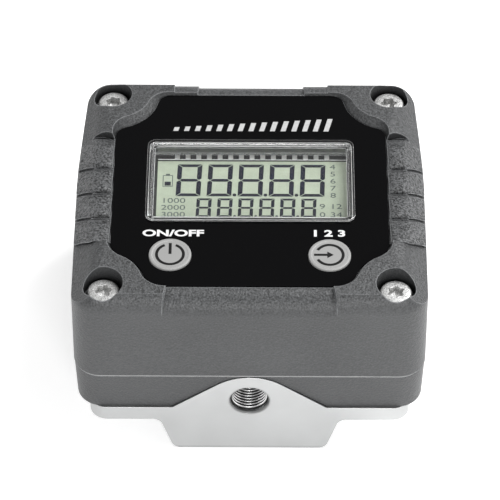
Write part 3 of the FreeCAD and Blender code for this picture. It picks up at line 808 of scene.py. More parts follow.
@dataclass(frozen=True)
class DisplayFace:
    """Reflective liquid-crystal face: grey-green, with a faint mottle.

    Attributes:
        name: The material's name.
        colour: Its mean colour.
        roughness: Its mean roughness.
        mottle: Width of one patch of the mottle.
        contrast: Share by which the mottle is darker and lighter.
        sparkle: Width of one grain of the matt skin.
        sparkle_height: Depth of that grain.
        wear: Swing of the roughness.
        sheen: Strength of the surface's shine.
    """

    name: str
    colour: Colour
    roughness: float
    mottle: float = 2.2 * MM
    contrast: float = 0.05
    sparkle: float = 0.12 * MM
    sparkle_height: float = 0.01 * MM
    wear: float = 0.04
    sheen: float = 0.35

    def build(self) -> bpy.types.Material:
        """Make the material.

        Returns:
            The material.
        """
        shader = Shader(self.name)
        mottle = shader.noise(self.mottle)
        sparkle = shader.noise(self.sparkle, detail=2.0)
        shader.surface(Base_Color=shader.varied(mottle, self.colour, self.contrast),
                       Specular_IOR_Level=self.sheen,
                       Normal=shader.bump(sparkle, self.sparkle_height, strength=0.4),
                       Roughness=shader.remap(mottle, self.roughness - self.wear,
                                              self.roughness + self.wear))
        return shader.material


@dataclass(frozen=True)
class Ink:
    """Thin printed or segment ink with a slight density change.

    Attributes:
        name: The material's name.
        colour: Its mean colour.
        roughness: Its mean roughness.
        shine: Strength of its reflections.
        patch: Width of one patch of thinner or denser ink.
        contrast: Share by which a patch is darker or lighter.
        wear: Swing of the roughness.
    """

    name: str
    colour: Colour
    roughness: float
    shine: float = 0.3
    patch: float = 0.8 * MM
    contrast: float = 0.1
    wear: float = 0.05

    def build(self) -> bpy.types.Material:
        """Make the material.

        Returns:
            The material.
        """
        shader = Shader(self.name)
        density = shader.noise(self.patch)
        shader.surface(Base_Color=shader.varied(density, self.colour, self.contrast),
                       Specular_IOR_Level=self.shine,
                       Roughness=shader.remap(density, self.roughness - self.wear,
                                              self.roughness + self.wear))
        return shader.material


class Finish(Enum):
    """Every finish on the meter."""

    # Painted highlight on the edges, painted shade in recesses and in the bore's mouth.
    ALUMINIUM = SatinMetal("satin_aluminium", srgb(192, 193, 193), roughness=0.42,
                           tooth=0.16 * MM, relief=0.012 * MM, edge=0.25 * MM, hollow=1.2 * MM,
                           root=(5.6 * MM, 5.2 * MM), bore_shade_tone=0.75)
    # Painted shade in the thread's roots and deep in the bore.
    THREAD = SatinMetal("cut_thread", srgb(240, 240, 240), roughness=0.24,
                        tooth=0.1 * MM, relief=0.006 * MM, hollow=6 * MM,
                        root=(4.36 * MM, 4.6 * MM))
    # Painted highlight on the edges and the parting line, painted shade in recesses.
    HOUSING = MouldedPlastic("grained_housing", srgb(74, 75, 76), roughness=0.4,
                             grain=0.55 * MM, relief=0.14 * MM, speckle=0.9,
                             edge=0.4 * MM, edge_highlight_gain=4.5, hollow=5 * MM,
                             line_low=27.95 * MM, line_high=28.3 * MM)
    # Painted highlight on the edges, painted shade in recesses.
    GRIP = MouldedPlastic("grained_grip", srgb(80, 81, 82), roughness=0.4,
                          grain=0.6 * MM, relief=0.2 * MM, speckle=1.0, spread=0.07, steep=1.0,
                          edge=0.4 * MM, edge_highlight_gain=4.5, hollow=5 * MM)
    OVERLAY = GlossOverlay("gloss_overlay", srgb(9, 9, 10), roughness=0.14, shine=0.05)
    # Painted highlight lines on the rim's upward edges.
    CLEAR = ClearPlastic("clear_window", (0.97, 0.98, 0.975), roughness=0.0, haze=0.004,
                         shine=0.0, edge=0.3 * MM)
    DISPLAY = DisplayFace("display_face", srgb(146, 154, 137), roughness=0.3)
    GLASS = GlossOverlay("display_plates", srgb(22, 23, 23), roughness=0.08, shine=0.15)
    BACKING = MouldedPlastic("display_reflector", srgb(190, 192, 184), roughness=0.5,
                             grain=0.2 * MM, relief=0.01 * MM)
    SEGMENT = Ink("segment_ink", srgb(6, 9, 30), roughness=0.6, shine=0.0)
    LEGEND = Ink("legend_ink", srgb(66, 74, 74), roughness=0.6, shine=0.0)
    PRINT = Ink("white_print", srgb(232, 232, 232), roughness=0.4)
    # Grey print, also used for the painted highlight strip on the display plate's cut edge.
    GREY_PRINT_AND_GLINT = Ink("grey_print_and_edge_glint", srgb(190, 190, 190), roughness=0.4)
    ICON = Ink("icon_print", srgb(14, 14, 14), roughness=0.35)
    # Painted highlight on the edges.
    KEY = MouldedPlastic("key_plastic", srgb(156, 156, 155), roughness=0.42,
                         grain=0.3 * MM, relief=0.012 * MM, contrast=0.04,
                         edge=0.3 * MM, edge_highlight_gain=1.7)
    PIN = SatinMetal("tinned_pins", srgb(236, 236, 234), roughness=0.3,
                     tooth=0.2 * MM, relief=0.008 * MM, metallic=0.25)
    SEAL = MouldedPlastic("seal_rubber", srgb(38, 38, 38), roughness=0.62,
                          grain=0.3 * MM, relief=0.01 * MM)
    # Painted highlight on the edges, painted shade in the recess.
    SCREW = CastMetal("plated_screw", srgb(205, 205, 204), roughness=0.42,
                      pit=0.5 * MM, relief=0.05 * MM, edge=0.2 * MM, hollow=0.6 * MM)
    AXLE = SatinMetal("ground_steel", srgb(205, 205, 205), roughness=0.25,
                      tooth=0.1 * MM, relief=0.004 * MM)
    GEAR = MouldedPlastic("gear_plastic", srgb(64, 56, 46), roughness=0.4,
                          grain=0.35 * MM, relief=0.012 * MM)
    MAGNET = SatinMetal("magnet_plate", srgb(190, 190, 196), roughness=0.2,
                        tooth=0.2 * MM, relief=0.004 * MM)
    BOARD = GlossOverlay("board_mask", srgb(22, 84, 48), roughness=0.28)
    CHIP = MouldedPlastic("chip_package", srgb(32, 32, 34), roughness=0.45,
                          grain=0.25 * MM, relief=0.008 * MM)
    TRAY = MouldedPlastic("tray_plastic", srgb(30, 30, 31), roughness=0.5,
                          grain=0.4 * MM, relief=0.015 * MM)
    CELL = GlossOverlay("cell_jacket", srgb(96, 102, 112), roughness=0.25)
    CONTACT = SatinMetal("contact_strip", srgb(214, 210, 196), roughness=0.25,
                         tooth=0.15 * MM, relief=0.004 * MM)
    REED = ClearPlastic("reed_glass", (0.75, 0.85, 0.75), roughness=0.03, haze=0.02)


_MADE: dict[Finish, bpy.types.Material] = {}


def finish_of(kind: Finish) -> bpy.types.Material:
    """Give a finish's material, made once."""
    if kind not in _MADE:
        _MADE[kind] = kind.value.build()
    return _MADE[kind]


SLOT_FINISH: dict[str, Finish] = {
    "satin_aluminium": Finish.ALUMINIUM,
    "housing_plastic": Finish.HOUSING,
    "gloss_black": Finish.OVERLAY,
    "clear_plastic": Finish.CLEAR,
    "display_face": Finish.GLASS,
    "display_backing": Finish.BACKING,
    "tinned_metal": Finish.PIN,
    "key_plastic": Finish.KEY,
    "seal_rubber": Finish.SEAL,
    "screw_steel": Finish.SCREW,
    "axle_steel": Finish.AXLE,
    "gear_plastic": Finish.GEAR,
    "magnet_metal": Finish.MAGNET,
    "board_green": Finish.BOARD,
    "chip_black": Finish.CHIP,
    "tray_plastic": Finish.TRAY,
    "cell_jacket": Finish.CELL,
    "contact_spring": Finish.CONTACT,
    "reed_glass": Finish.REED,
}


def new_piece(name: str, mesh: bmesh.types.BMesh, finish: Finish, body: str,
              smooth_deg: float = 30.0) -> bpy.types.Object:
    """Turn a mesh into a named piece that rides on a body.

    Args:
        name: The piece's name.
        mesh: Its geometry in metres, in the meter's frame; it is freed.
        finish: Its material.
        body: The body it moves with.
        smooth_deg: Faces that meet at less than this angle are shaded smoothly.

    Returns:
        The new object.
    """
    bmesh.ops.remove_doubles(mesh, verts=mesh.verts, dist=MERGE_DISTANCE)
    bmesh.ops.recalc_face_normals(mesh, faces=mesh.faces)
    for edge in mesh.edges:
        sharp = len(edge.link_faces) != 2 or edge.calc_face_angle(0.0) > math.radians(smooth_deg)
        edge.smooth = not sharp
    for face in mesh.faces:
        face.smooth = True
    data = bpy.data.meshes.new(name)
    mesh.to_mesh(data)
    mesh.free()
    piece = bpy.data.objects.new(name, data)
    bpy.context.scene.collection.objects.link(piece)
    data.materials.append(finish_of(finish))
    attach(piece, body)
    LOG.info("%s: %d faces on %s", name, len(data.polygons), body)
    return piece


def loft(mesh: bmesh.types.BMesh, loops: Sequence[Sequence[Vector]], closed: bool = False,
         capped: bool = False) -> None:
    """Skin a row of loops that have equally many points.

    Args:
        mesh: The mesh to add to.
        loops: The loops in order.
        closed: Join the last loop back to the first.
        capped: Close the first and last loop with a face.
    """
    rows = [[mesh.verts.new(point) for point in loop] for loop in loops]
    pairs = list(zip(rows, rows[1:]))
    if closed:
        pairs.append((rows[-1], rows[0]))
    for low, high in pairs:
        count = len(low)
        for i in range(count):
            j = (i + 1) % count
            mesh.faces.new((low[i], low[j], high[j], high[i]))
    if capped:
        mesh.faces.new(list(reversed(rows[0])))
        mesh.faces.new(rows[-1])


def slab(mesh: bmesh.types.BMesh, outline: Sequence[Point], low: float, high: float) -> None:
    """Add a thin plate with a flat outline.

    Args:
        mesh: The mesh to add to.
        outline: Its corners seen from above.
        low: Height of its underside.
        high: Height of its top.
    """
    loops = [[Vector((x, y, z)) for x, y in outline] for z in (low, high)]
    loft(mesh, loops, capped=True)


def plate(mesh: bmesh.types.BMesh, left: float, right: float, front: float, back: float,
          low: float, high: float) -> None:
    """Add a thin rectangular plate.

    Args:
        mesh: The mesh to add to.
        left: Its left side.
        right: Its right side.
        front: Its front side.
        back: Its back side.
        low: Height of its underside.
        high: Height of its top.
    """
    slab(mesh, ((left, front), (right, front), (right, back), (left, back)), low, high)


def ring_band(mesh: bmesh.types.BMesh, middle: Point, inner: float, outer: float,
              low: float, high: float, start: float = 0.0, sweep: float = 2 * math.pi,
              steps: int = 64) -> None:
    """Add a flat ring, or a part of one.

    Args:
        mesh: The mesh to add to.
        middle: The ring's middle seen from above.
        inner: Inner radius.
        outer: Outer radius.
        low: Height of its underside.
        high: Height of its top.
        start: Angle at which it starts.
        sweep: Angle that it covers.
        steps: Number of stretches.
    """
    whole = sweep >= 2 * math.pi
    loops = []
    for i in range(steps if whole else steps + 1):
        angle = start + sweep * i / steps
        along = Vector((math.cos(angle), math.sin(angle), 0))
        centre = Vector((*middle, 0))
        loops.append([centre + along * radius + Vector((0, 0, z))
                      for radius, z in ((inner, low), (outer, low), (outer, high), (inner, high))])
    loft(mesh, loops, closed=whole, capped=not whole)


def lathe(mesh: bmesh.types.BMesh, middle: Point, profile: Sequence[Point],
          steps: int = 64) -> None:
    """Turn a profile of radius and height about an upright line.

    Args:
        mesh: The mesh to add to.
        middle: Where the line stands, seen from above.
        profile: Radius and height from the underside to the top; both ends are closed flat.
        steps: Number of stretches round.
    """
    loops = []
    for radius, z in profile:
        loop = []
        for i in range(steps):
            angle = 2 * math.pi * i / steps
            loop.append(Vector((middle[0] + radius * math.cos(angle),
                                middle[1] + radius * math.sin(angle), z)))
        loops.append(loop)
    loft(mesh, loops, capped=True)


def rounded_loop(middle: Point, half: Point, radius: float, z: float,
                 steps: int = 8) -> list[Vector]:
    """Points round a rectangle with round corners.

    Args:
        middle: Its middle seen from above.
        half: Its half width and half depth.
        radius: The corners' radius.
        z: Its height.
        steps: Stretches per corner.

    Returns:
        The points in order.
    """
    points = []
    for corner, (sx, sy) in enumerate(((1, 1), (-1, 1), (-1, -1), (1, -1))):
        cx = middle[0] + sx * (half[0] - radius)
        cy = middle[1] + sy * (half[1] - radius)
        for i in range(steps + 1):
            angle = math.pi / 2 * (corner + i / steps)
            points.append(Vector((cx + radius * math.cos(angle),
                                  cy + radius * math.sin(angle), z)))
    return points


@dataclass(frozen=True)
class Lettering:
    """Plain lettering laid flat as a thin raised print.

    Attributes:
        height: Height of a capital.
        thickness: Thickness of the print.
        stretch: Width over the lettering's own width.
        weight: How far each stroke is fattened.
    """

    height: float
    thickness: float = 0.02 * MM
    stretch: float = 1.0
    weight: float = 0.0

    def stamp(self, name: str, words: str, at: Point, base: float, finish: Finish,
              body: str) -> bpy.types.Object:
        """Lay words on a level surface.

        Args:
            name: The piece's name.
            words: What it says.
            at: The middle of the words seen from above.
            base: Height of the surface.
            finish: Its material.
            body: The body it moves with.

        Returns:
            The lettering as a mesh piece.
        """
        curve = bpy.data.curves.new(name, "FONT")
        curve.body = words
        curve.align_x, curve.align_y = "CENTER", "CENTER"
        curve.size = self.height / CAPITAL_SHARE
        curve.offset = self.weight
        curve.extrude = self.thickness / 2
        curve.resolution_u = 4
        holder = bpy.data.objects.new(name + "_curve", curve)
        bpy.context.scene.collection.objects.link(holder)
        bpy.context.view_layer.update()
        data = bpy.data.meshes.new_from_object(holder)
        bpy.data.objects.remove(holder)
        mesh = bmesh.new()
        mesh.from_mesh(data)
        for vert in mesh.verts:
            vert.co = Vector((at[0] + vert.co.x * self.stretch, at[1] + vert.co.y,
                              base + self.thickness / 2 + vert.co.z))
        return new_piece(name, mesh, finish, body)


@dataclass
class ThreadedPorts:
    """The cut thread in the two ports.

    Attributes:
        major: Radius at the wall of the bore.
        minor: Radius at the thread's crest.
        pitch: Way along the bore in one turn.
        root_share: Half the ridge's width at the wall, over the pitch.
        crest_share: Half its width at the crest, over the pitch.
        start: How deep behind the end face the first turn starts.
        turns: Number of turns.
        run_out: Turns over which the ridge grows at one end and fades at the other.
        steps: Stretches in one turn.
    """

    major: float = 4.864 * MM
    minor: float = 4.283 * MM
    pitch: float = 0.907 * MM
    root_share: float = 0.46
    crest_share: float = 0.07
    start: float = 0.6 * MM
    turns: int = 11
    run_out: float = 0.6
    steps: int = 56

    def helix(self, side: int) -> bmesh.types.BMesh:
        """Make one port's ridge, running inwards from the end face.

        Args:
            side: -1 for the front port, 1 for the back one.

        Returns:
            The ridge's mesh.
        """
        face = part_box("meter_body")[0 if side < 0 else 1].y
        section = ((self.major, -self.root_share), (self.minor, -self.crest_share),
                   (self.minor, self.crest_share), (self.major, self.root_share))
        count = self.turns * self.steps
        faded = self.run_out * self.steps
        loops = []
        for i in range(count + 1):
            angle = 2 * math.pi * i / self.steps
            depth = self.start + self.pitch * (0.5 + i / self.steps)
            fade = min(1.0, i / faded, (count - i + 1) / faded)
            loop = []
            for radius, along in section:
                reach = self.major - (self.major - radius) * fade
                loop.append(Vector((reach * math.cos(angle),
                                    face - side * (depth + along * self.pitch),
                                    BORE_HEIGHT + reach * math.sin(angle))))
            loops.append(loop)
        mesh = bmesh.new()
        loft(mesh, loops, capped=True)
        return mesh

    def build(self) -> None:
        """Add both threads."""
        for side, name in ((-1, "inlet_thread"), (1, "outlet_thread")):
            new_piece(name, self.helix(side), Finish.THREAD, BODY)


@dataclass
class CasingScrews:
    """Four pan-head screws with a six-lobed recess.

    Attributes:
        head_radius: Radius of the head.
        head_height: Height of the head.
        seat_share: Radius of the head's underside over that of the head.
        rim: Height of the head's rounded rim, and how far it rolls in.
        rim_rise: How far the rounding rises.
        crown_fall: How far the head's top falls towards the rim.
        land: Width of the top round the recess.
        shank_radius: Radius of the shank.
        tip_share: Radius of the tip over that of the shank.
        tip_height: Height of the pointed end.
        lobe_outer: Radius of the recess in a lobe.
        lobe_inner: Radius of the recess between two lobes.
        lobes: Number of lobes.
        break_width: Width of the recess's broken edge.
        break_depth: Depth of that edge.
        recess_depth: Depth of the recess at its wall.
        draft: Width of the recess at its floor over that at its mouth.
        floor_share: Depth of the recess's middle over that at its wall.
        floor_radius: Radius of the floor's flat middle.
        turns: How far each screw is turned, in radians.
        steps: Stretches round a screw.
    """

    head_radius: float = 3.95 * MM
    head_height: float = 2.8 * MM
    seat_share: float = 0.99
    rim: float = 0.6 * MM
    rim_rise: float = 0.55 * MM
    crown_fall: float = 0.02 * MM
    land: float = 0.62 * MM
    shank_radius: float = 1.98 * MM
    tip_share: float = 0.7
    tip_height: float = 0.6 * MM
    lobe_outer: float = 2.05 * MM
    lobe_inner: float = 1.5 * MM
    lobes: int = 6
    break_width: float = 0.16 * MM
    break_depth: float = 0.18 * MM
    recess_depth: float = 1.7 * MM
    draft: float = 0.94
    floor_share: float = 1.2
    floor_radius: float = 0.15 * MM
    turns: tuple[float, ...] = (0.2, 0.75, 0.45, 0.05)
    steps: int = 96

    def lobe_radius(self, angle: float) -> float:
        """Radius of the lobed recess at an angle."""
        wave = 0.5 + 0.5 * math.cos(self.lobes * angle)
        return self.lobe_inner + (self.lobe_outer - self.lobe_inner) * wave

    def ring(self, x: float, y: float, turn: float, radius: Callable[[float], float],
             z: float) -> list[Vector]:
        """One loop of points round a screw's line.

        Args:
            x: Where the line stands.
            y: Where the line stands.
            turn: How far the screw is turned.
            radius: Radius at each angle.
            z: The loop's height.

        Returns:
            The points in order.
        """
        points = []
        for i in range(self.steps):
            angle = 2 * math.pi * i / self.steps
            reach = radius(angle)
            points.append(Vector((x + reach * math.cos(angle + turn),
                                  y + reach * math.sin(angle + turn), z)))
        return points

    def outside(self, tip: float, top: float) -> list[Point]:
        """Radius and height of the screw's outside, from its tip to the head's top.

        Args:
            tip: Height of its tip.
            top: Height of its head's top.

        Returns:
            The profile.
        """
        seat = top - self.head_height
        angles = [math.radians(degrees) for degrees in range(0, 81, 20)]
        rim = [(self.head_radius - (1 - math.cos(angle)) * self.rim,
                top - self.rim + math.sin(angle) * self.rim_rise) for angle in angles]
        return [(self.shank_radius * self.tip_share, tip),
                (self.shank_radius, tip + self.tip_height),
                (self.shank_radius, seat),
                (self.head_radius * self.seat_share, seat),
                *rim,
                (self.lobe_outer + self.land, top - self.crown_fall)]

    def one(self, mesh: bmesh.types.BMesh, x: float, y: float, turn: float, tip: float,
            top: float) -> None:
        """Add one screw.

        Args:
            mesh: The mesh to add to.
            x: Where it stands.
            y: Where it stands.
            turn: How far it is turned.
            tip: Height of its tip.
            top: Height of its head's top.
        """
        recess = (
            (lambda angle: self.lobe_radius(angle) + self.break_width, top),
            (self.lobe_radius, top - self.break_depth),
            (lambda angle: self.lobe_radius(angle) * self.draft, top - self.recess_depth),
            (lambda _: self.floor_radius, top - self.recess_depth * self.floor_share),
        )
        loops = [self.ring(x, y, turn, lambda _, r=radius: r, z)
                 for radius, z in self.outside(tip, top)]
        loops += [self.ring(x, y, turn, radius, z) for radius, z in recess]
        loft(mesh, loops, capped=True)

    def build(self) -> None:
        """Add the four screws in place of the plain ones."""
        mesh = bmesh.new()
        low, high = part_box("housing_screws")
        place_x, place_y = high.x - self.head_radius, high.y - self.head_radius
        places = [(sx * place_x, sy * place_y) for sx in (-1, 1) for sy in (-1, 1)]
        for (x, y), turn in zip(places, self.turns):
            self.one(mesh, x, y, turn, low.z, high.z)
        piece = new_piece("casing_screws", mesh, Finish.SCREW, BODY, smooth_deg=40)
        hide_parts("housing_screws")


@dataclass
class GripPanels:
    """Skins of the side grips, laid over the casing from its deck to its side.

    Attributes:
        count: Skins on each side.
        pitch: From the front end of one skin to that of the next.
        front: Where the first skin starts.
        back: Where the last one ends.
        groove: Width of the groove between two skins.
        inner: Distance of the skins' inner end from the middle of the meter.
        side_height: Height of their outer end, on the casing's side.
        skin: How far a skin stands above the casing.
        lip: What its front end stands higher.
        lip_share: Share of the lip that its front edge has.
        lip_round: Way over which the lip rounds up from that edge.
        lip_start: Distance from the middle at which the lip starts to rise.
        lip_end: Distance at which it has its full height.
        deck: Height of the casing at the skins' inner end.
        sweep: How far a skin runs back for what the casing falls below that height.
        bend: How far its outer end runs forward again.
        bend_start: Share of its width at which that starts.
        fade: Share of the last skin's length over which it sinks into the casing.
        fade_depth: How deep it sinks, over its thickness.
        smooth: Half the width over which the casing's creases are averaged out.
        samples: Heights that are averaged on each side of a point.
        beyond: How far below the skins' outer end a sample may lie for the mean to count.
        sunk: How deep a skin reaches into the casing.
        above: Height from which the casing is probed.
        halvings: Steps of the search for the casing's side.
        across: Stretches across a skin.
        along: Stretches along a skin.
    """

    count: int = 4
    pitch: float = 8.75 * MM
    front: float = -19.39 * MM
    back: float = 16.2 * MM
    groove: float = 0.7 * MM
    inner: float = 35.7 * MM
    side_height: float = 50.6 * MM
    skin: float = 0.2 * MM
    lip: float = 0.7 * MM
    lip_share: float = 0.55
    lip_round: float = 1.6 * MM
    lip_start: float = 35.8 * MM
    lip_end: float = 37.0 * MM
    deck: float = 55.0 * MM
    sweep: float = 0.8
    bend: float = 0.8 * MM
    bend_start: float = 0.76
    fade: float = 0.15
    fade_depth: float = 1.5
    smooth: float = 1.2 * MM
    samples: int = 4
    beyond: float = 2 * MM
    sunk: float = 0.8 * MM
    above: float = 100 * MM
    halvings: int = 18
    across: int = 28
    along: int = 22

    def __post_init__(self) -> None:
        """Read the casing's surface from the frame."""
        data = frame["nodes"]["upper_housing"].data
        self.tree = BVHTree.FromPolygons([vert.co.copy() for vert in data.vertices],
                                         [tuple(face.vertices) for face in data.polygons])

    def level(self, x: float, y: float) -> float:
        """Height of the casing at a place, or 0 beyond it."""
        hit = self.tree.ray_cast(Vector((x, y, self.above)), Vector((0, 0, -1)))[0]
        return hit.z if hit else 0.0

    def side(self, way: int, y: float) -> float:
        """Half width at which the casing's side has fallen to the skins' outer end.

        Args:
            way: -1 for the left side, 1 for the right one.
            y: Where along the side.

        Returns:
            The half width.
        """
        low, high = self.lip_end, CAD_BOX[1].x
        for _ in range(self.halvings):
            middle = (low + high) / 2
            if self.level(way * middle, y) > self.side_height:
                low = middle
            else:
                high = middle
        return low

    def smoothed(self, way: int, x: float, y: float) -> float:
        """Height of the casing with its creases averaged out.

        Args:
            way: -1 for the left side, 1 for the right one.
            x: Distance from the middle of the meter.
            y: Where along the side.

        Returns:
            The mean height, or the plain one where the casing ends nearby.
        """
        room = min(self.smooth, x - self.inner)
        places = [x - room + room * i / self.samples for i in range(2 * self.samples + 1)]
        levels = [self.level(way * place, y) for place in places]
        here = self.level(way * x, y)
        if min(levels) <= self.side_height - self.beyond:
            return here
        return max(sum(levels) / len(levels), here - self.skin)

    def rise(self, share: float, x: float, length: float) -> float:
        """Height of a skin over the casing: it swells to a lip at its front end.

        Args:
            share: 0 at the skin's front end, 1 at its back end.
            x: Distance from the middle of the meter.
            length: The skin's length.

        Returns:
            The height.
        """
        reach = min(max((x - self.lip_start) / (self.lip_end - self.lip_start), 0.0), 1.0)
        rounded = min(share * length / self.lip_round, 1.0)
        round_share = math.sqrt(1 - (1 - rounded) ** 2)
        swell = (1 - share) * (self.lip_share + (1 - self.lip_share) * round_share)
        return self.skin + self.lip * reach * swell

    def row(self, way: int, line: float, share: float, length: float, sink: float
            ) -> list[Vector]:
        """Points across a skin's top, from its inner end to its outer one.

        Args:
            way: -1 for the left side, 1 for the right one.
            line: Where along the side the row starts.
            share: 0 at the skin's front end, 1 at its back end.
            length: The skin's length.
            sink: How far the row is let into the casing.

        Returns:
            The points.
        """
        outer = self.side(way, line)
        points = []
        for i in range(self.across + 1):
            part = i / self.across
            x = self.inner + (outer - self.inner) * part
            turn = max(part - self.bend_start, 0.0) / (1 - self.bend_start)
            fall = max(self.deck - self.level(way * x, line), 0.0)
            y = line + self.sweep * fall - self.bend * turn ** 2
            x = min(x, self.side(way, y))
            z = self.smoothed(way, x, y) + self.rise(share, x, length) - sink
            points.append(Vector((way * x, y, z)))
        return points

    def skin_mesh(self, way: int, start: float, end: float, faded: bool) -> bmesh.types.BMesh:
        """Drape one skin over the casing.

        Args:
            way: -1 for the left side, 1 for the right one.
            start: Its front end.
            end: Its back end.
            faded: Whether its back end sinks into the casing.

        Returns:
            The skin as a closed mesh.
        """
        mesh = bmesh.new()
        under = Vector((way * self.sunk, 0, self.sunk))
        loops = []
        for j in range(self.along + 1):
            share = j / self.along
            sunk_share = max(share - 1 + self.fade, 0.0) / self.fade if faded else 0.0
            top = self.row(way, start + (end - start) * share, share, end - start,
                           sunk_share * self.fade_depth * self.skin)
            loops.append(top + [point - under for point in reversed(top)])
        loft(mesh, loops, capped=True)
        return mesh

    def build(self) -> None:
        """Lay the skins on both sides."""
        for way, side in ((-1, "left"), (1, "right")):
            for i in range(self.count):
                start = self.front + self.pitch * i
                last = i == self.count - 1
                end = self.back if last else start + self.pitch - self.groove
                new_piece(f"{side}_grip_skin_{i + 1}", self.skin_mesh(way, start, end, last),
                          Finish.GRIP, BODY, smooth_deg=50)


@dataclass
class Window:
    """Clear window with a raised rim, a dished top and a skirt.

    Attributes:
        rim: Width of the raised rim.
        edge: Size of the rim's broken edges.
        bevel: Share of that size by which an edge's middle point is set in.
        dish: How far the pane lies below the rim.
        plate: Thickness of the pane.
        skirt: Thickness of the skirt that goes down to the display.
        flange: How far the skirt is set in from the rim.
        radius: Radius of the outer corners.
        least_radius: Least radius of a corner.
        pane_inset: From the rim to the pane's level part.
        pane_radius: Radius of that part's corners.
        clearance: Gap to the window of the frame, whose place it takes.
    """

    rim: float = 1.35 * MM
    edge: float = 0.3 * MM
    bevel: float = 0.3
    dish: float = 0.5 * MM
    plate: float = 1.6 * MM
    skirt: float = 1.15 * MM
    flange: float = 0.72 * MM
    radius: float = 2.2 * MM
    least_radius: float = 0.4 * MM
    pane_inset: float = 1.2 * MM
    pane_radius: float = 0.5 * MM
    clearance: float = 0.02 * MM

    def section(self, low: float, deck: float, top: float) -> list[Point]:
        """Inset and height of the rim's section, from the skirt's foot to the pane.

        Args:
            low: Height of the skirt's foot.
            deck: Height of the overlay that the rim stands on.
            top: Height of the rim.

        Returns:
            The section.
        """
        bevel = self.edge * self.bevel
        return [
            (self.flange + self.skirt, low),
            (self.flange, low),
            (self.flange, deck),
            (0.0, deck),
            (0.0, top - self.edge),
            (bevel, top - bevel),
            (self.edge, top),
            (self.rim - self.edge, top),
            (self.rim - bevel, top - bevel),
            (self.rim, top - self.edge),
            (self.rim + self.edge / 2, top - self.dish),
        ]

    def build(self) -> None:
        """Sweep the window's section round it and close its pane."""
        low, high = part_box("window_lens")
        middle = ((low.x + high.x) / 2, (low.y + high.y) / 2)
        half_x = (high.x - low.x) / 2 - self.clearance
        half_y = (high.y - low.y) / 2 - self.clearance
        pane = high.z - self.dish

        def loop(inset: float, z: float, radius: float) -> list[Vector]:
            """One loop round the window, set in from its outline."""
            return rounded_loop(middle, (half_x - inset, half_y - inset), radius, z)

        loops = [loop(self.flange + self.skirt, pane - self.plate, self.pane_radius)]
        for inset, z in self.section(low.z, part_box("fascia")[1].z, high.z):
            loops.append(loop(inset, z, max(self.radius - inset, self.least_radius)))
        loops.append(loop(self.rim + self.pane_inset, pane, self.pane_radius))
        mesh = bmesh.new()
        loft(mesh, loops, capped=True)
        piece = new_piece("display_window", mesh, Finish.CLEAR, BODY,
                          smooth_deg=25)
        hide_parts("window_lens")


@dataclass
class SegmentDigit:
    """A seven-segment figure with mitred strokes.

    Attributes:
        width: Width of the figure.
        height: Height of the figure.
        stroke: Width of its upright strokes.
        bar: Width of its level strokes.
        gap: Gap between two strokes.
        slant: How far it leans to the right, over its height.
    """

    width: float
    height: float
    stroke: float
    bar: float
    gap: float
    slant: float = 0.035

    def strokes(self) -> list[list[Point]]:
        """Outline each of the seven strokes from the figure's lower left corner.

        Returns:
            One outline per stroke.
        """
        w, h, s, t, g = self.width, self.height, self.stroke, self.bar, self.gap
        m, k, c = h / 2, t / 2, s / 2
        return [
            [(g, h), (w - g, h), (w - s - g, h - t), (s + g, h - t)],
            [(g, 0), (s + g, t), (w - s - g, t), (w - g, 0)],
            [(c + g, m), (s + g, m + k), (w - s - g, m + k), (w - c - g, m),
             (w - s - g, m - k), (s + g, m - k)],
            [(0, h - g), (s, h - t - g), (s, m + k + g), (c, m + g), (0, m + k + g)],
            [(0, g), (0, m - k - g), (c, m - g), (s, m - k - g), (s, t + g)],
            [(w, h - g), (w, m + k + g), (w - c, m + g), (w - s, m + k + g), (w - s, h - t - g)],
            [(w, g), (w - s, t + g), (w - s, m - k - g), (w - c, m - g), (w, m - k - g)],
        ]

    def draw(self, mesh: bmesh.types.BMesh, left: float, front: float, low: float,
             high: float) -> None:
        """Add the figure.

        Args:
            mesh: The mesh to add to.
            left: Left end of its foot.
            front: Front end of its foot.
            low: Underside of the strokes.
            high: Top of the strokes.
        """
        for stroke in self.strokes():
            outline = [(left + x + y * self.slant, front + y) for x, y in stroke]
            slab(mesh, outline, low, high)


@dataclass(frozen=True)
class DigitRow:
    """Where a row of figures stands on the display.

    Attributes:
        left: Left end of its first figure.
        front: Front end of its figures.
        pitch: From one figure to the next.
        count: Number of figures.
        dots: Number of decimal points, the first after the second figure.
        dot_share: Radius of a point over the width of an upright stroke.
        dot_hole: Radius of the pin hole in a point's middle.
    """

    left: float
    front: float
    pitch: float
    count: int
    dots: int
    dot_share: float = 0.42
    dot_hole: float = 0.02 * MM

    def draw(self, digit: SegmentDigit, mesh: bmesh.types.BMesh, low: float,
             high: float) -> None:
        """Add the row's figures and decimal points.

        Args:
            digit: The figure that is repeated.
            mesh: The mesh to add to.
            low: Underside of the strokes.
            high: Top of the strokes.
        """
        for i in range(self.count):
            digit.draw(mesh, self.left + i * self.pitch, self.front, low, high)
        dot = digit.stroke * self.dot_share
        for i in range(1, self.dots + 1):
            middle = self.left + i * self.pitch + (self.pitch + digit.width) / 2
            ring_band(mesh, (middle, self.front + dot), self.dot_hole, dot, low, high, steps=16)


@dataclass(frozen=True)
class NumberColumn:
    """A column of plain numbers on the display.

    Attributes:
        words: The numbers from the back to the front.
        x: Middle of the column.
        back: Middle of the first number.
        pitch: From one number to the next.
    """

    words: tuple[str, ...]
    x: float
    back: float
    pitch: float


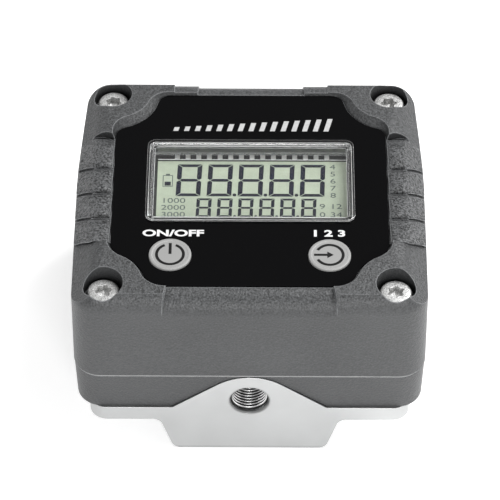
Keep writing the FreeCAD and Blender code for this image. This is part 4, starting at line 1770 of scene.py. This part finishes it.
@dataclass(frozen=True)
class CellMark:
    """A plain cell with a bar of charge, at the display's upper left.

    Attributes:
        left: Left side of the cell.
        right: Right side of the cell.
        front: Front end of the cell.
        back: Back end of the cell.
        line: Width of its lines.
        cap_inset: How far its cap is set in from the sides.
        cap_height: Height of its cap.
        charge_inset: How far the charge is set in from the sides.
        charge_start: How far it is set in from the front.
        charge_height: Height of the charge.
    """

    left: float = -22.6 * MM
    right: float = -20.0 * MM
    front: float = 4.5 * MM
    back: float = 8.6 * MM
    line: float = 0.2 * MM
    cap_inset: float = 0.8 * MM
    cap_height: float = 0.5 * MM
    charge_inset: float = 0.5 * MM
    charge_start: float = 0.4 * MM
    charge_height: float = 1.4 * MM

    def outline(self, mesh: bmesh.types.BMesh, low: float, high: float) -> None:
        """Add the cell's four lines and its cap.

        Args:
            mesh: The mesh to add to.
            low: Underside of the mark.
            high: Top of the mark.
        """
        left, right, front, back = self.left, self.right, self.front, self.back
        line = self.line
        plate(mesh, left, left + line, front, back, low, high)
        plate(mesh, right - line, right, front, back, low, high)
        plate(mesh, left + line, right - line, front, front + line, low, high)
        plate(mesh, left + line, right - line, back - line, back, low, high)
        plate(mesh, left + self.cap_inset, right - self.cap_inset, back,
              back + self.cap_height, low, high)

    def charge(self, mesh: bmesh.types.BMesh, low: float, high: float) -> None:
        """Add the bar of charge.

        Args:
            mesh: The mesh to add to.
            low: Underside of the mark.
            high: Top of the mark.
        """
        start = self.front + self.charge_start
        plate(mesh, self.left + self.charge_inset, self.right - self.charge_inset,
              start, start + self.charge_height, low, high)


@dataclass
class Display:
    """The display's face and what it shows: two rows of figures and plain marks.

    Attributes:
        big: The figure of the upper row.
        small: The figure of the lower row.
        big_row: Where the upper row stands.
        small_row: Where the lower row stands.
        mark: The cell mark.
        numbers: The columns of plain numbers.
        number_height: Height of these numbers.
        number_stretch: Their width over the lettering's own width.
        ink: Thickness of what is shown.
        film: Thickness of the polariser.
        left: Left side of the polariser.
        right: Right side of the polariser.
        front: Front end of the polariser.
        back: Back end of the polariser.
        plate_back: Back end of the upper plate.
        edge_glint: Width of the painted highlight strip along the plate's cut edge.
    """

    big: SegmentDigit
    small: SegmentDigit
    big_row: DigitRow = DigitRow(left=-19.2 * MM, front=1.15 * MM, pitch=7.95 * MM, count=5,
                                 dots=3)
    small_row: DigitRow = DigitRow(left=-13.95 * MM, front=-6.2 * MM, pitch=5.36 * MM, count=6,
                                   dots=4)
    mark: CellMark = CellMark()
    numbers: tuple[NumberColumn, ...] = (
        NumberColumn(("1000", "2000", "3000"), x=-19.7 * MM, back=-0.5 * MM, pitch=2.45 * MM),
        NumberColumn(("4", "5", "6", "7", "8"), x=21.2 * MM, back=11.7 * MM, pitch=2.54 * MM),
        NumberColumn(("9", "0"), x=18.4 * MM, back=-2.4 * MM, pitch=2.9 * MM),
        NumberColumn(("12", "34"), x=21.9 * MM, back=-2.4 * MM, pitch=2.9 * MM),
    )
    number_height: float = 1.75 * MM
    number_stretch: float = 1.3
    ink: float = 0.02 * MM
    film: float = 0.05 * MM
    left: float = -24.0 * MM
    right: float = 24.7 * MM
    front: float = -8.4 * MM
    back: float = 13.7 * MM
    plate_back: float = 14.48 * MM
    edge_glint: float = 0.25 * MM

    def face(self, glass: float) -> float:
        """Lay the polariser on the upper plate, and a painted highlight strip along the plate's
        cut edge.

        Args:
            glass: Height of the upper plate's top.

        Returns:
            Height of the polariser's top.
        """
        top = glass + self.film
        film = bmesh.new()
        plate(film, self.left, self.right, self.front, self.back, glass, top)
        new_piece("display_polariser", film, Finish.DISPLAY, BODY)
        # Painted highlight: a light strip stands for the light that the glass's cut edge catches.
        edge = bmesh.new()
        plate(edge, self.left, self.right, self.plate_back - self.edge_glint, self.plate_back,
              glass, top)
        new_piece("display_edge_glint", edge, Finish.GREY_PRINT_AND_GLINT, BODY)
        return top

    def legends(self, low: float) -> None:
        """Add the plain numbers at both sides of the figures.

        Args:
            low: Height of the display's face.
        """
        letters = Lettering(self.number_height, self.ink, self.number_stretch)
        places = [(words, column.x, column.back - column.pitch * i)
                  for column in self.numbers for i, words in enumerate(column.words)]
        for i, (words, x, y) in enumerate(places):
            letters.stamp(f"display_number_{i + 1}", words, (x, y), low, Finish.LEGEND, BODY)

    def build(self) -> None:
        """Add the display's face and everything shown on it."""
        low = self.face(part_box("display_glass")[1].z)
        high = low + self.ink
        figures = bmesh.new()
        self.big_row.draw(self.big, figures, low, high)
        self.small_row.draw(self.small, figures, low, high)
        self.mark.charge(figures, low, high)
        new_piece("display_figures", figures, Finish.SEGMENT, BODY)
        outline = bmesh.new()
        self.mark.outline(outline, low, high)
        new_piece("display_cell_mark", outline, Finish.LEGEND, BODY)
        self.legends(low)


@dataclass
class FasciaPrint:
    """Print on the gloss overlay: plain labels and a row of flow bars.

    Attributes:
        letter_height: Height of the labels' capitals.
        letter_stretch: Their width over the lettering's own width.
        letter_weight: How far their strokes are fattened.
        power_at: Middle of the left key's label.
        select_at: Middle of the right key's label.
        bar_count: Number of bars.
        bar_left: Middle of the first bar.
        bar_right: Middle of the last bar.
        bar_front: Front end of the bars.
        bar_low: Height of the first bar.
        bar_high: Height of the last bar.
        bar_width: Width of a bar.
        bar_slant: How far a bar leans to the right, over its height.
        ink: Thickness of the print.
    """

    letter_height: float = 2.15 * MM
    letter_stretch: float = 1.42
    letter_weight: float = 0.1 * MM
    power_at: Point = (-19.3 * MM, -15.9 * MM)
    select_at: Point = (19.7 * MM, -15.8 * MM)
    bar_count: int = 15
    bar_left: float = -19.5 * MM
    bar_right: float = 19.5 * MM
    bar_front: float = 20.6 * MM
    bar_low: float = 1.4 * MM
    bar_high: float = 4.6 * MM
    bar_width: float = 1.3 * MM
    bar_slant: float = 0.25
    ink: float = 0.02 * MM

    def bars(self, low: float) -> bmesh.types.BMesh:
        """Make a row of slanted bars that grow from left to right.

        Args:
            low: Height of the overlay.

        Returns:
            The bars' mesh.
        """
        mesh = bmesh.new()
        half = self.bar_width / 2
        for i in range(self.bar_count):
            share = i / (self.bar_count - 1)
            x = self.bar_left + (self.bar_right - self.bar_left) * share
            tall = self.bar_low + (self.bar_high - self.bar_low) * share
            lean = tall * self.bar_slant
            outline = ((x - half, self.bar_front), (x + half, self.bar_front),
                       (x + half + lean, self.bar_front + tall),
                       (x - half + lean, self.bar_front + tall))
            slab(mesh, outline, low, low + self.ink)
        return mesh

    def build(self) -> None:
        """Add the print."""
        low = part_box("fascia")[1].z
        letters = Lettering(self.letter_height, self.ink, self.letter_stretch,
                            self.letter_weight)
        for name, words, place in (("power_label", "ON/OFF", self.power_at),
                                   ("select_label", "1 2 3", self.select_at)):
            letters.stamp(name, words, place, low, Finish.PRINT, BODY)
        new_piece("flow_bars", self.bars(low), Finish.GREY_PRINT_AND_GLINT, BODY)


@dataclass
class Key(ABC):
    """A round push button with a raised rim and a printed sign.

    Attributes:
        body: The body it moves with.
        node: The frame's node that it takes the place of.
        middle: Its middle seen from above.
        stem_radius: Radius of the stem below the collar.
        stem_height: Height of the stem.
        collar_low: Height of the collar's underside, over the stem's foot.
        collar_high: Height of the collar's top.
        cap_low: Height at which the cap starts.
        cap_inset: How far the cap is set in from the collar.
        rim: Width of the raised rim.
        dish: How far the face lies below the rim.
        face_middle: Radius of the loop that closes the face.
        edge: Size of the rim's broken edge.
        bevel: Share of that size by which the edge's middle point is set in.
        ring_inner: Inner radius of the sign's ring.
        ring_outer: Outer radius of the sign's ring.
        opening: Half the angle of the ring's opening, in degrees.
        ink: Thickness of the sign.
        steps: Stretches round the cap.
    """

    body: str
    node: str
    middle: Point
    stem_radius: float = 1.5 * MM
    stem_height: float = 1.32 * MM
    collar_low: float = 1.43 * MM
    collar_high: float = 2.4 * MM
    cap_low: float = 2.43 * MM
    cap_inset: float = 0.9 * MM
    rim: float = 0.75 * MM
    dish: float = 0.14 * MM
    face_middle: float = 0.4 * MM
    edge: float = 0.3 * MM
    bevel: float = 0.3
    ring_inner: float = 2.99 * MM
    ring_outer: float = 3.73 * MM
    opening: float = 24.0
    ink: float = 0.02 * MM
    steps: int = 96

    def cap(self) -> bmesh.types.BMesh:
        """Turn the cap, its collar and its stem.

        Returns:
            The button's mesh.
        """
        low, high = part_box(self.node)
        foot, top = low.z, high.z
        collar = (high.x - low.x) / 2
        cap = collar - self.cap_inset
        bevel = self.edge * self.bevel
        mesh = bmesh.new()
        lathe(mesh, self.middle, [
            (self.stem_radius, foot),
            (self.stem_radius, foot + self.stem_height),
            (collar, foot + self.collar_low),
            (collar, foot + self.collar_high),
            (cap, foot + self.cap_low),
            (cap, top - self.edge),
            (cap - bevel, top - bevel),
            (cap - self.edge, top),
            (cap - self.rim, top),
            (cap - self.rim - self.dish, top - self.dish),
            (self.face_middle, top - self.dish),
        ], self.steps)
        return mesh

    def face(self) -> float:
        """Height of the face that carries the sign."""
        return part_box(self.node)[1].z - self.dish

    def open_ring(self, mesh: bmesh.types.BMesh, towards: float) -> None:
        """Add the sign's ring.

        Args:
            mesh: The mesh to add to.
            towards: Angle of the middle of its opening.
        """
        half = math.radians(self.opening)
        ring_band(mesh, self.middle, self.ring_inner, self.ring_outer, self.face(),
                  self.face() + self.ink, towards + half, 2 * math.pi - 2 * half)

    @abstractmethod
    def sign(self) -> bmesh.types.BMesh:
        """Draw the key's sign."""

    def build(self) -> None:
        """Add the cap and its sign."""
        cap = new_piece(self.node + "_cap", self.cap(), Finish.KEY, self.body)
        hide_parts(self.node)
        new_piece(self.node + "_sign", self.sign(), Finish.ICON, self.body)


@dataclass
class PowerKey(Key):
    """The key with the usual on-off sign: a ring that is open at the back, and a bar.

    Attributes:
        bar: Half width of the bar.
        bar_front: Front end of the bar from the key's middle.
        bar_back: Back end of the bar from the key's middle.
    """

    bar: float = 0.375 * MM
    bar_front: float = 0.1 * MM
    bar_back: float = 3.8 * MM

    def sign(self) -> bmesh.types.BMesh:
        """Draw the open ring and the bar.

        Returns:
            The sign's mesh.
        """
        mesh = bmesh.new()
        x, y = self.middle
        self.open_ring(mesh, math.pi / 2)
        plate(mesh, x - self.bar, x + self.bar, y + self.bar_front, y + self.bar_back,
              self.face(), self.face() + self.ink)
        return mesh


@dataclass
class StepKey(Key):
    """The key with a ring that is open at the left, and an arrow into it.

    Attributes:
        opening: Half the angle of the ring's opening, in degrees.
        bar: Half width of the arrow's shaft.
        tip: Half width of its head.
        shaft_start: Left end of the shaft, to the left of the key's middle.
        head_start: Left end of the head, to the left of the key's middle.
        head_end: The head's point, to the right of the key's middle.
    """

    opening: float = 28.0
    bar: float = 0.36 * MM
    tip: float = 1.1 * MM
    shaft_start: float = 3.9 * MM
    head_start: float = 0.6 * MM
    head_end: float = 1.0 * MM

    def sign(self) -> bmesh.types.BMesh:
        """Draw the open ring and the arrow.

        Returns:
            The sign's mesh.
        """
        mesh = bmesh.new()
        x, y = self.middle
        self.open_ring(mesh, math.pi)
        start, head = x - self.shaft_start, x - self.head_start
        arrow = ((start, y - self.bar), (head, y - self.bar), (head, y - self.tip),
                 (x + self.head_end, y), (head, y + self.tip), (head, y + self.bar),
                 (start, y + self.bar))
        slab(mesh, arrow, self.face(), self.face() + self.ink)
        return mesh


class CarriedNodes:
    """CAD pieces whose shape is right, dressed in their finishes."""

    def build(self) -> None:
        """Give every CAD node the finish of its slot."""
        slots = {part["node"]: part["material_slot"] for part in frame["record"]["subparts"]}
        for name, node in frame["nodes"].items():
            node.data.materials.clear()
            node.data.materials.append(finish_of(SLOT_FINISH[slots[name]]))
            LOG.info("%s dressed as %s", name, slots[name])


@dataclass(frozen=True)
class Lamp:
    """A square soft lamp.

    Attributes:
        name: The lamp's name.
        place: Where it hangs.
        size: Its width.
        power: Its power in watts.
    """

    name: str
    place: Place
    size: float
    power: float

    def hang(self, aim: Place) -> None:
        """Hang the lamp.

        Args:
            aim: The place that it shines at.
        """
        light = bpy.data.lights.new(self.name, "AREA")
        light.shape = "SQUARE"
        light.size = self.size
        light.energy = self.power
        holder = bpy.data.objects.new(self.name, light)
        bpy.context.scene.collection.objects.link(holder)
        holder.location = self.place
        way = Vector(aim) - Vector(self.place)
        holder.rotation_euler = way.to_track_quat("-Z", "Y").to_euler()


@dataclass
class Studio:
    """Pale floor, white surround and soft lamps.

    Attributes:
        floor_size: Width of the floor.
        floor_top: Height of the floor, just under the foot.
        floor_low: Height of its underside.
        floor_tone: Its colour.
        floor_roughness: Its roughness.
        glow: How much it glows for the camera, which keeps it white.
        world_light: Strength of the surround's light.
        aim: What the lamps shine at.
        lamps: The lamps.
    """

    floor_size: float = 6.0
    floor_top: float = -0.02 * MM
    floor_low: float = -2 * MM
    floor_tone: Colour = (0.9, 0.9, 0.9)
    floor_roughness: float = 0.9
    glow: float = 0.45
    world_light: float = 0.53
    aim: Place = (0.0, 0.0, 0.03)
    lamps: tuple[Lamp, ...] = (
        Lamp("key_lamp", place=(0.5, 0.3, 0.85), size=0.5, power=8.5),
        Lamp("front_lamp", place=(0.12, -0.9, 0.47), size=0.3, power=4.2),
    )

    def floor_paint(self) -> bpy.types.Material:
        """Make the floor's matt paint, which glows where the camera sees it.

        Returns:
            The material.
        """
        shader = Shader("floor_paint")
        path = shader.add("ShaderNodeLightPath").outputs
        seen = shader.math("MAXIMUM", path["Is Camera Ray"], path["Is Glossy Ray"])
        shader.surface(Base_Color=(*self.floor_tone, 1.0), Roughness=self.floor_roughness,
                       Specular_IOR_Level=0.0, Emission_Color=WHITE,
                       Emission_Strength=shader.math("MULTIPLY", seen, self.glow))
        return shader.material

    def floor(self) -> None:
        """Lay the floor."""
        half = self.floor_size / 2
        mesh = bmesh.new()
        plate(mesh, -half, half, -half, half, self.floor_low, self.floor_top)
        data = bpy.data.meshes.new("floor")
        mesh.to_mesh(data)
        mesh.free()
        data.materials.append(self.floor_paint())
        sheet = bpy.data.objects.new("floor", data)
        bpy.context.scene.collection.objects.link(sheet)

    def world(self) -> None:
        """Surround the scene with soft light that the camera sees as white."""
        world = bpy.data.worlds.new("surround")
        bpy.context.scene.world = world
        world.use_nodes = True
        nodes, links = world.node_tree.nodes, world.node_tree.links
        light = nodes["Background"]
        white = nodes.new("ShaderNodeBackground")
        for node, strength in ((light, self.world_light), (white, 1.0)):
            node.inputs["Color"].default_value = WHITE
            node.inputs["Strength"].default_value = strength
        path = nodes.new("ShaderNodeLightPath")
        mix = nodes.new("ShaderNodeMixShader")
        sources = (path.outputs["Is Camera Ray"], light.outputs[0], white.outputs[0])
        for socket, source in zip(mix.inputs, sources):
            links.new(source, socket)
        links.new(mix.outputs[0], nodes["World Output"].inputs["Surface"])

    def build(self) -> None:
        """Set up floor, surround and lamps."""
        self.floor()
        self.world()
        for lamp in self.lamps:
            lamp.hang(self.aim)


@dataclass
class PhotoCamera:
    """The camera at the photograph's place: a long lens from above the front.

    Attributes:
        place: Where it stands.
        aim: What it looks at.
        focal_px: Its focal length in pixels of the picture.
        frame_px: Width of the picture in pixels.
        sensor_mm: Width of its sensor in millimetres.
        centre_x_px: Pixel column that its axis goes through.
        nearest: Distance from which things are seen.
    """

    place: Place = (0.0029, -0.5041, 0.5757)
    aim: Place = (0.0, 0.0020, 0.02999)
    focal_px: float = 2843.4
    frame_px: float = 500.0
    sensor_mm: float = 36.0
    centre_x_px: float = 250.41
    nearest: float = 0.01

    def build(self) -> None:
        """Add the camera and make it the scene's own."""
        camera = bpy.data.cameras.new("photo_camera")
        camera.sensor_width = self.sensor_mm
        camera.lens = self.focal_px * self.sensor_mm / self.frame_px
        camera.shift_x = (self.frame_px / 2 - self.centre_x_px) / self.frame_px
        camera.clip_start = self.nearest
        holder = bpy.data.objects.new("photo_camera", camera)
        bpy.context.scene.collection.objects.link(holder)
        holder.location = self.place
        look = Vector(self.aim) - Vector(self.place)
        holder.rotation_euler = look.to_track_quat("-Z", "Y").to_euler()
        bpy.context.scene.camera = holder


def main() -> None:
    """Dress the meter piece by piece, then set up its studio."""
    logging.basicConfig(level=logging.INFO, format="%(message)s")
    bpy.context.scene.view_settings.view_transform = "Standard"
    big = SegmentDigit(width=6.35 * MM, height=11.4 * MM, stroke=1.2 * MM, bar=0.95 * MM,
                       gap=0.13 * MM)
    small = SegmentDigit(width=3.85 * MM, height=6.6 * MM, stroke=0.85 * MM, bar=0.65 * MM,
                         gap=0.1 * MM)
    CarriedNodes().build()
    ThreadedPorts().build()
    CasingScrews().build()
    GripPanels().build()
    Window().build()
    Display(big, small).build()
    FasciaPrint().build()
    PowerKey(body="power_key", node="power_button", middle=(-19.9 * MM, -23.3 * MM)).build()
    StepKey(body="select_key", node="select_button", middle=(19.9 * MM, -23.3 * MM)).build()
    PhotoCamera().build()
    Studio().build()


if __name__ == "__main__":
    main()
